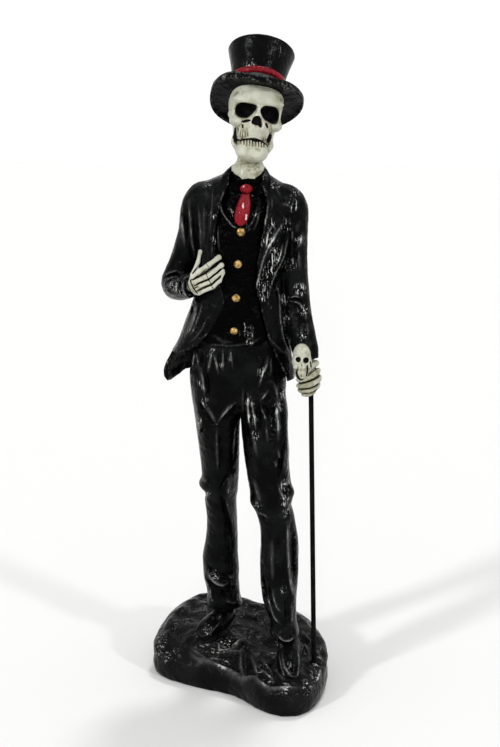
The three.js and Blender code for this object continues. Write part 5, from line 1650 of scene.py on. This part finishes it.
HAND_GAPS = [
    [[-25.0, 262.6, 0.35], [-21, 265, 0.5], [-17.0, 267.2, 0.55], [-10.4, 272.8, 0.6]],
    [[-24.2, 259.2, 0.35], [-20, 261.6, 0.5], [-15.8, 263.4, 0.55], [-9.0, 268.8, 0.6]],
    [[-22.6, 256.2, 0.35], [-18.6, 258.6, 0.5], [-14.4, 260.3, 0.55], [-9.2, 264.8, 0.55]],
    [[-17.3, 266.6, 0.25], [-16.2, 263.8, 0.25]], [[-16, 263.6, 0.25], [-14.8, 261, 0.25]],
    [[-14.6, 260.2, 0.25], [-13.2, 257.6, 0.25]], [[-17.2, 272.4, 0.2], [-15.6, 270.2, 0.2]],
    [[-26.6, 262.2, 0.35], [-25.2, 258.6, 0.4], [-22.6, 254.6, 0.35]],
    [[-28.4, 259.6, 0.3], [-26.8, 256, 0.35], [-24, 253, 0.35]],
    [[-24.6, 257.6, 0.3], [-22.4, 258.8, 0.3]],
    [[-25.2, 266.4, 0.4], [-22.8, 269.2, 0.3]],
]

CHEST_HAND_STAINS = [[-23, -26, 258, 6, 0.9], [-14, -27, 262, 6, 0.6], [-18, -26, 267, 5, 0.5]]
HAND_FRONT = -22    # paint lies in the gaps before this y


def add_finger(clay, joints, radius, slim=0.8, soft=0.25):
    """A finger: thick at each joint, thin between."""
    for a, b in zip(joints[:-1], joints[1:]):
        middle = (np.asarray(a, float) + np.asarray(b, float)) / 2
        clay.put(rod(a, middle, radius, radius * slim), soft)
        clay.put(rod(middle, b, radius * slim, radius), soft)


def make_chest_hand(material):
    clay = Clay((-34, -34, 247), (-4, -12, 283), grid(0.24))
    clay.put_line(CHEST_WRIST, 10, 0.6)
    for centre, radii in CHEST_PALM:
        clay.put(egg(centre, radii), 1)
    for joints, radius in CHEST_RAYS:
        add_finger(clay, joints, radius)
    clay.put(egg(*CHEST_KNUCKLES), 0.6)
    for gap in HAND_GAPS:
        clay.groove(gap, 12, 0.1)

    def ink(p):
        return 0.9 * inked(HAND_GAPS, p) * (p[:, 1] < HAND_FRONT)
    fire("chest_hand_cast", clay, on_figure, material, triangles=11400, rough=0.07, grain=1.6, seed=121,
         ink=ink, spots=CHEST_HAND_STAINS)


FIST_WRIST = [[40.6, -17, 216.5, 4.6], [42.2, -19.6, 209, 4.9], [42.8, -21.6, 202, 5]]

FIST_BONES = [
    [[48.6, -21.6, 207.6, 1.5], [47.4, -26, 207, 1.7], [43.6, -28.8, 205.2, 1.75],
        [39, -27.8, 203, 1.6], [36.6, -24.2, 202.2, 1.3]],
    [[49.2, -21.6, 203.4, 1.5], [48.2, -26.4, 202.6, 1.7], [44, -29.3, 200.8, 1.8],
        [39.2, -28.2, 199.2, 1.65], [36.6, -24.6, 198.8, 1.3]],
    [[48.6, -21.8, 199.2, 1.4], [47.4, -26.4, 198.4, 1.6], [43.4, -28.8, 197, 1.7],
        [39.4, -27.6, 196, 1.5], [37.4, -24.4, 196, 1.2]],
    [[46.6, -22.2, 195.8, 1.2], [45.4, -25.8, 195.2, 1.4], [42.4, -27.6, 194.2, 1.4],
        [39.6, -26.4, 193.8, 1.2]],
]

THUMB = [
    [47.4, -20.4, 211.6, 1.9], [44.8, -25.6, 211, 1.8], [41.2, -28.6, 208, 1.6],
    [38.4, -29.4, 204.6, 1.3],
]

FIST_GAPS = [
    [[48.6, 205.4, 0.5], [44.4, 203.2, 0.45], [38, 201.2, 0.5]],
    [[48.9, 201.2, 0.5], [44.6, 199.0, 0.45], [38, 197.6, 0.5]],
    [[47.6, 197.2, 0.5], [43.6, 195.6, 0.4], [39.2, 195, 0.45]],
    [[46.4, 209.4, 0.45], [43.6, 207.6, 0.4], [41, 205.6, 0.4]],
]

FIST_SHADOW = [[[35.8, 204.9, 0.9], [37.5, 203.8, 1.25], [39.8, 204.7, 0.9]]]

FIST_STAINS = [[42, -27, 198, 10, 0.95], [46, -26, 206, 7, 0.95]]
CANE_FOOT = (48.1, -23.8, 18)
CANE_HEAD = (44.1, -23.2, 206.4)
CANE_HOLE_RADIUS = 1.85
CANE_HOLE_BOX = (np.array([40, -28, 190.0]), np.array([50, -19, 207.0]))


def make_fist(material):
    clay = Clay((31, -34, 190), (53, -11, 220), grid(0.24))
    clay.put_line(FIST_WRIST, 8, 0.6)
    clay.put(egg((43, -22.2, 201.4), (6.3, 5.4, 7.2)), 1)
    for bone in FIST_BONES:
        clay.put_line(bone, 10, 0.25)
    for gap in FIST_GAPS:
        clay.groove(gap, 10, 0.1)
    clay.put_line(THUMB, 8, 0.4)
    hole = rod(CANE_FOOT, CANE_HEAD, CANE_HOLE_RADIUS)[2]
    clay.put((*CANE_HOLE_BOX, hole), 0, cut=True)

    def ink(p):
        lines = np.maximum(0.75 * inked(FIST_GAPS, p), inked(FIST_SHADOW, p, 0.8))
        return lines * (p[:, 1] < HAND_FRONT)
    fire("fist_cast", clay, on_figure, material, triangles=11000, rough=0.07, grain=1.6, seed=131,
         ink=ink, spots=FIST_STAINS)


# Knob: a small skull

KNOB_CREASES = [
    [[35.8, 210.2, 0.4], [35.3, 208, 0.75], [36.3, 205.2, 0.9], [38.2, 203.7, 0.95],
     [40.2, 204.2, 0.8]],
    [[41.7, 212.4, 0.4], [41.7, 209.4, 0.7], [41.2, 206.2, 0.6]],
    [[43.6, 214.4, 0.4], [43.9, 211.4, 0.6]], [[38.2, 213.6, 0.25], [38.4, 212.4, 0.3]],
    [[38, 207.2, 0.2], [38.1, 206.2, 0.25]],
]

KNOB_FORMS = [
    [(38.5, -26, 217.4), (5.3, 6.4, 7.0), 0], [(38.6, -26.6, 213.6), (5.9, 5.8, 4.6), 1.6],
    [(38.4, -27.8, 208.6), (4.6, 4.8, 5.6), 1.4],
]
KNOB_CHEEKS = [
    [(35.0, -29.6, 211.4), (1.7, 2.2, 1.6), 0.8], [(42.6, -29.2, 211.8), (1.7, 2.4, 1.7), 0.8],
]
KNOB_SOCKETS = [[(36.2, -32.2, 216.0), (1.7, 2.9, 1.75)], [(40.8, -32.2, 215.6), (1.9, 2.9, 1.85)]]
# Black paint in the knob's sockets, and painted shadow in the hollow under its jaw: ellipses [x, z, half
# width, half height]
KNOB_INK_AND_SHADOW = [[36.2, 216.0, 1.55, 1.6], [40.8, 215.6, 1.75, 1.75], [37.6, 203.9, 2.2, 0.7]]
KNOB_STAINS = [
    [35.0, -29, 208.8, 3.4, 1.25], [38.4, -31, 203.8, 2.8, 1], [42.4, -29, 208.6, 3.2, 1.25],
    [38.4, -31, 214, 2.6, 0.5], [44, -26, 215, 2.4, 0.9], [34, -28, 213, 2.2, 0.6],
    [38.5, -30, 219, 9, 0.58], [38.4, -30, 208, 7.5, 0.8],
]


def make_knob(material):
    clay = Clay((29.5, -36, 200), (47, -17, 226), grid(0.22))
    for centre, radii, soft in KNOB_FORMS:
        clay.put(egg(centre, radii), soft)
    clay.put(rod((38.8, -31.2, 212.4), (38.7, -31.4, 206.2), 2.1, 1.9), 0.8)
    for centre, radii, soft in KNOB_CHEEKS:
        clay.put(egg(centre, radii), soft)
    for centre, radii in KNOB_SOCKETS:
        clay.put(egg(centre, radii), 0.4, cut=True)
    for crease in KNOB_CREASES:
        clay.groove(crease, 12, 0.15)

    def ink(p):
        total = 0.8 * inked(KNOB_CREASES, p, 0.9)
        for cx, cz, rx, rz in KNOB_INK_AND_SHADOW:
            k = np.hypot((p[:, 0] - cx) / rx, (p[:, 2] - cz) / rz)
            total = np.maximum(total, 1 - ease(k, 0.85, 1.15))
        return total * (p[:, 1] < -27)
    fire("knob_cast", clay, on_figure, material, triangles=7500, rough=0.06, grain=1.5, seed=141,
         ink=ink, spots=KNOB_STAINS)


# Materials

NEAR_BLACK = (0.0015, 0.0015, 0.0015)


class Paint:
    """A material, with short ways to add and join its nodes."""

    def __init__(self, name):
        self.material = bpy.data.materials.new(name)
        self.material.use_nodes = True
        self.tree = self.material.node_tree
        self.shader = self.tree.nodes["Principled BSDF"]

    def add(self, kind, **settings):
        node = self.tree.nodes.new(kind)
        for key, value in settings.items():
            setattr(node, key, value)
        return node

    def feed(self, node, inputs):
        """Sets each input, named or numbered, to a number or colour, or joins an output to it."""
        for key, item in inputs.items():
            if isinstance(item, (int, float, tuple)):
                node.inputs[key].default_value = item
            else:
                self.tree.links.new(item, node.inputs[key])

    def noise(self, scale, detail=3.0, rough=0.55, stretch=None):
        where = self.add("ShaderNodeTexCoord").outputs["Object"]
        if stretch:
            mapping = self.add("ShaderNodeMapping")
            self.feed(mapping, {"Vector": where, "Scale": stretch})
            where = mapping.outputs["Vector"]
        node = self.add("ShaderNodeTexNoise")
        self.feed(node, {"Scale": scale, "Detail": detail, "Roughness": rough, "Vector": where})
        return node.outputs["Fac"]

    def mark(self, label):
        return self.add("ShaderNodeAttribute", attribute_name=label).outputs["Fac"]

    def ramp(self, value, low, high, a=0.0, b=1.0):
        node = self.add("ShaderNodeMapRange", interpolation_type="SMOOTHSTEP")
        self.feed(node, {"From Min": low, "From Max": high, "To Min": a, "To Max": b,
                         "Value": value})
        return node.outputs["Result"]

    def maths(self, kind, a, b):
        node = self.add("ShaderNodeMath", operation=kind)
        self.feed(node, {0: a, 1: b})
        return node.outputs["Value"]

    def times(self, a, b):
        return self.maths("MULTIPLY", a, b)

    def plus(self, a, b):
        return self.maths("ADD", a, b)

    def most(self, a, b):
        return self.maths("MAXIMUM", a, b)

    def ragged(self, value, noise, amount):
        """The value with its edges broken up by a noise."""
        return self.plus(value, self.times(self.maths("SUBTRACT", noise, 0.5), amount))

    def mix(self, share, a, b):
        node = self.add("ShaderNodeMix", data_type="RGBA")
        first, second = ((*item, 1) if isinstance(item, tuple) else item for item in (a, b))
        self.feed(node, {"Factor": share, 6: first, 7: second})
        return node.outputs[2]

    def bumps(self, heights):
        """Bumps from a list of (height, metres)."""
        before = None
        for height, metres in heights:
            node = self.add("ShaderNodeBump")
            self.feed(node, {"Strength": 1.0, "Distance": metres, "Height": height})
            if before is not None:
                self.feed(node, {"Normal": before})
            before = node.outputs["Normal"]
        return before

    def finish(self, colour, dull, heights, gloss=None):
        self.feed(self.shader, {"Base Color": colour, "Roughness": dull,
                                "Normal": self.bumps(heights)})
        if gloss is not None:
            self.feed(self.shader, {"Specular IOR Level": gloss})
        return self.material


def lacquer(name, dark, dust, wear_and_sheen, dusty=0.5, rough=(0.11, 0.22), bump=1.0, scale=1.0, gloss=0.042,
            lines=0.18, sparse=0.0, flow=(1.9, 1.9, 0.3), peak=0.9):
    """Black lacquer, with painted highlight lines on carved ridges and painted glints in the flaky
    patches.
    """
    w = Paint(name)
    spot, highlight_crest = w.mark("spot"), w.mark("highlight_crest")
    cloud = w.noise(70 * scale, 4)
    fine = w.noise(420 * scale, 4, 0.6)
    glint_flecks = w.noise(640 * scale, 3, 0.7, flow)
    colour = w.mix(w.times(w.ramp(cloud, 0.42, 0.68), dusty), dark, dust)
    # lighter on the ridges: paint worn at the edges, and a painted edge highlight
    edge_wear_and_sheen = w.times(w.ramp(w.mark("ridge"), 0.3, 0.7), w.ramp(fine, 0.5, 0.62))
    colour = w.mix(edge_wear_and_sheen, colour, wear_and_sheen)
    settled = w.times(w.ramp(w.mark("hollow"), 0.3, 0.9), w.ramp(fine, 0.4, 0.7, 0.0, 0.5))
    colour = w.mix(settled, colour, dust)
    strip = w.times(w.mark("ink"), w.ramp(fine, 0.34, 0.56))
    colour = w.mix(strip, colour, (0.07, 0.076, 0.072))
    uneven = w.ramp(w.noise(240 * scale, 2, 0.5), 0.35, 0.62, 0.35, 1.0)
    # painted highlight lines along the carved strokes, faint outside the flaky patches and bright in
    # them
    line = w.times(w.ramp(w.ragged(highlight_crest, glint_flecks, 2.2), 0.5, 0.85),
                   w.ramp(spot, 0.15, 0.75, lines, peak))
    # painted glints: bright flecks in the flaky patches
    painted_glints = w.times(w.ramp(spot, 0.1, 0.7), w.ramp(glint_flecks, 0.575 + sparse, 0.625 + sparse))
    painted_highlight = w.times(w.most(line, w.times(painted_glints, peak / 0.9)), uneven)
    # painted highlights and glints, over a faint painted sheen along all carved strokes
    colour = w.mix(w.most(painted_highlight, w.times(highlight_crest, 0.055)), colour, (0.7, 0.72, 0.69))
    dull = w.most(w.ramp(cloud, 0.38, 0.7, *rough), w.times(w.most(strip, edge_wear_and_sheen), 0.4))
    ripple = w.noise(190 * scale, 2, 0.5)
    flaky = w.times(w.noise(900 * scale, 2, 0.5), spot)
    return w.finish(colour, dull, [(cloud, 0.0016 * bump), (ripple, 0.001 * bump),
                                   (fine, 0.00045 * bump), (flaky, 0.0012)], gloss)


def bone_paint():
    """Bone colour, stained in patches, some of them painted shade, and washed brown in the hollows; ink
    is painted black, traced lines are painted highlights.
    """
    w = Paint("bone_paint")
    hollow = w.mark("hollow")
    cloud = w.noise(95, 4)
    fine = w.noise(520, 4, 0.6)
    colour = w.mix(w.ramp(cloud, 0.4, 0.66), (0.455, 0.455, 0.38), (0.38, 0.385, 0.31))
    tint = w.times(w.ramp(w.noise(160, 3), 0.48, 0.66), 0.75)
    colour = w.mix(tint, colour, (0.29, 0.29, 0.21))
    # stains, and painted shade where patches lie under the chin and the brim; brown wash in the hollows
    near = w.plus(w.times(w.mark("spot"), 0.86), w.times(hollow, 0.8))
    stain_and_shade = w.times(w.ramp(w.ragged(near, fine, 1.5), 0.42, 0.95), 0.82)
    colour = w.mix(stain_and_shade, colour, (0.175, 0.16, 0.09))
    colour = w.mix(w.ramp(w.ragged(hollow, fine, 0.5), 0.12, 0.5), colour, (0.15, 0.13, 0.07))
    colour = w.mix(w.ramp(hollow, 0.45, 0.85), colour, (0.03, 0.024, 0.014))
    colour = w.mix(w.times(w.ramp(w.mark("ridge"), 0.2, 0.7), 0.6), colour, (0.58, 0.58, 0.5))
    # painted highlight along the traced lines
    shine = w.times(w.ramp(w.ragged(w.mark("highlight_crest"), fine, 1.2), 0.4, 0.8), 0.8)
    colour = w.mix(shine, colour, (0.6, 0.61, 0.56))
    painted = w.ramp(w.ragged(w.mark("ink"), fine, 0.3), 0.4, 0.6)
    colour = w.mix(painted, colour, NEAR_BLACK)
    dull = w.plus(w.ramp(fine, 0.35, 0.68, 0.34, 0.52), w.times(painted, 0.3))
    return w.finish(colour, dull, [(cloud, 0.0005), (fine, 0.0002)], 0.12)


def red_paint():
    w = Paint("red_paint")
    cloud, fine = w.noise(120, 3), w.noise(600, 4, 0.6)
    colour = w.mix(w.ramp(cloud, 0.4, 0.62), (0.14, 0.003, 0.007), (0.225, 0.006, 0.013))
    rubbed = w.times(w.ramp(w.mark("ridge"), 0.25, 0.7), 0.12)
    colour = w.mix(rubbed, colour, (0.45, 0.06, 0.08))
    colour = w.mix(w.ramp(w.mark("hollow"), 0.3, 0.8), colour, (0.10, 0.004, 0.008))
    colour = w.mix(w.times(w.ramp(fine, 0.6, 0.7), 0.06), colour, (0.5, 0.2, 0.2))
    # painted highlights along the tie's traced lines, and painted glints as flecks in the band's patches
    shine = w.ramp(w.ragged(w.mark("highlight_crest"), fine, 0.7), 0.4, 0.75)
    glint_flecks = w.times(w.ramp(w.mark("spot"), 0.2, 0.8, 0.0, 0.7), w.ramp(fine, 0.58, 0.66))
    colour = w.mix(w.most(shine, glint_flecks), colour, (0.62, 0.5, 0.5))
    dull = w.ramp(fine, 0.35, 0.68, 0.16, 0.34)
    return w.finish(colour, dull, [(cloud, 0.0012), (fine, 0.0004)], 0.12)


def gold_paint():
    w = Paint("gold_paint")
    fine = w.noise(620, 4, 0.6)
    colour = w.mix(w.ramp(fine, 0.42, 0.6), (0.15, 0.085, 0.02), (0.58, 0.39, 0.14))
    colour = w.mix(w.ramp(w.mark("hollow"), 0.2, 0.7), colour, (0.12, 0.07, 0.015))
    w.feed(w.shader, {"Metallic": 0.75})
    return w.finish(colour, w.ramp(fine, 0.35, 0.68, 0.28, 0.5), [(fine, 0.00025)])


def rod_paint():
    w = Paint("rod_paint")
    cloud, fine = w.noise(120, 3), w.noise(700, 3)
    colour = w.mix(w.ramp(cloud, 0.4, 0.65), (0.002, 0.002, 0.002), (0.005, 0.0048, 0.004))
    colour = w.mix(w.times(w.ramp(fine, 0.62, 0.72), 0.4), colour, (0.06, 0.05, 0.035))
    return w.finish(colour, w.ramp(cloud, 0.4, 0.65, 0.34, 0.5), [(fine, 0.00008)], 0.012)


def floor_paint():
    w = Paint("floor_paint")
    w.feed(w.shader, {"Base Color": (0.74, 0.74, 0.735, 1), "Roughness": 0.9,
                      "Specular IOR Level": 0.0})
    return w.material


# The casting: all pieces, joined

black = lacquer("black_lacquer", (0.0008, 0.0009, 0.001), (0.0064, 0.007, 0.0068),
                (0.06, 0.064, 0.06), sparse=-0.01)
deep = lacquer("deep_lacquer", (0.0004, 0.0004, 0.0004), (0.0012, 0.0012, 0.0012),
               (0.05, 0.052, 0.05), dusty=0.3, gloss=0.016)
smooth = lacquer("hat_lacquer", (0.0016, 0.0017, 0.0018), (0.0075, 0.0082, 0.008),
                 (0.06, 0.064, 0.06), bump=0.5, rough=(0.2, 0.32), gloss=0.05)
rock = lacquer("rock_lacquer", (0.0018, 0.0019, 0.0019), (0.009, 0.010, 0.009),
               (0.07, 0.074, 0.068), dusty=0.45, rough=(0.12, 0.24), bump=1.1, scale=0.8,
               gloss=0.06, lines=0.08, sparse=0.004, flow=(0.8, 1.5, 1.5), peak=0.56)
bone, red, gold = bone_paint(), red_paint(), gold_paint()

make_ground(rock)
make_trousers(black)
make_shoes(black)
make_waistcoat(deep)
make_coat(black)
make_tie(red)
make_buttons(gold)
make_neck(bone)
make_head(bone)
make_hat(smooth)
make_band(red)
make_chest_hand(bone)
make_fist(bone)
make_knob(bone)

bpy.ops.object.select_all(action="DESELECT")
for piece in PIECES:
    piece.select_set(True)
bpy.context.view_layer.objects.active = PIECES[0]
bpy.ops.object.join()
figure = bpy.context.view_layer.objects.active
figure.name = "figure_casting"
figure.data.name = "figure_casting"
figure.data.validate()

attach(figure, "root")
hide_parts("figure")

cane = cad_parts["cane"]
cane.data.materials.clear()
cane.data.materials.append(rod_paint())


# Floor and light

FLOOR_HALF = 5


def make_floor():
    corners = [(-FLOOR_HALF, -FLOOR_HALF, 0), (FLOOR_HALF, -FLOOR_HALF, 0),
               (FLOOR_HALF, FLOOR_HALF, 0), (-FLOOR_HALF, FLOOR_HALF, 0)]
    mesh = bpy.data.meshes.new("floor")
    mesh.from_pydata(corners, [], [(0, 1, 2, 3)])
    mesh.materials.append(floor_paint())
    floor = bpy.data.objects.new("floor", mesh)
    bpy.context.collection.objects.link(floor)
    return floor


def soft_sun(name, place, strength, wide):
    light = bpy.data.lights.new(name, "SUN")
    light.energy = strength
    light.angle = math.radians(wide)
    lamp = bpy.data.objects.new(name, light)
    bpy.context.collection.objects.link(lamp)
    lamp.location = place
    lamp.rotation_euler = (-Vector(place)).to_track_quat("-Z", "Y").to_euler()


def light_room():
    """White all round, a little brighter near the horizon."""
    world = bpy.data.worlds.new("studio")
    bpy.context.scene.world = world
    world.use_nodes = True
    tree = world.node_tree
    around = tree.nodes.new("ShaderNodeTexCoord")
    split = tree.nodes.new("ShaderNodeSeparateXYZ")
    tree.links.new(around.outputs["Generated"], split.inputs["Vector"])
    rise = tree.nodes.new("ShaderNodeMapRange")
    rise.interpolation_type = "SMOOTHSTEP"
    for key, number in (("From Min", 0.05), ("From Max", 0.3), ("To Min", 1.02), ("To Max", 0.66)):
        rise.inputs[key].default_value = number
    tree.links.new(split.outputs["Z"], rise.inputs["Value"])
    backdrop = tree.nodes["Background"]
    backdrop.inputs["Color"].default_value = (1, 1, 1, 1)
    tree.links.new(rise.outputs["Result"], backdrop.inputs["Strength"])


floor = make_floor()
soft_sun("key", (-0.52, -0.72, 0.46), 1.5, 6)
soft_sun("side", (0.775, -0.484, 0.41), 1.0, 5)
soft_sun("low", (0.12, -0.96, 0.24), 0.35, 3)
soft_sun("top", (0.1, 0.35, 1.0), 1.0, 9)
light_room()
bpy.context.scene.view_settings.view_transform = "Standard"
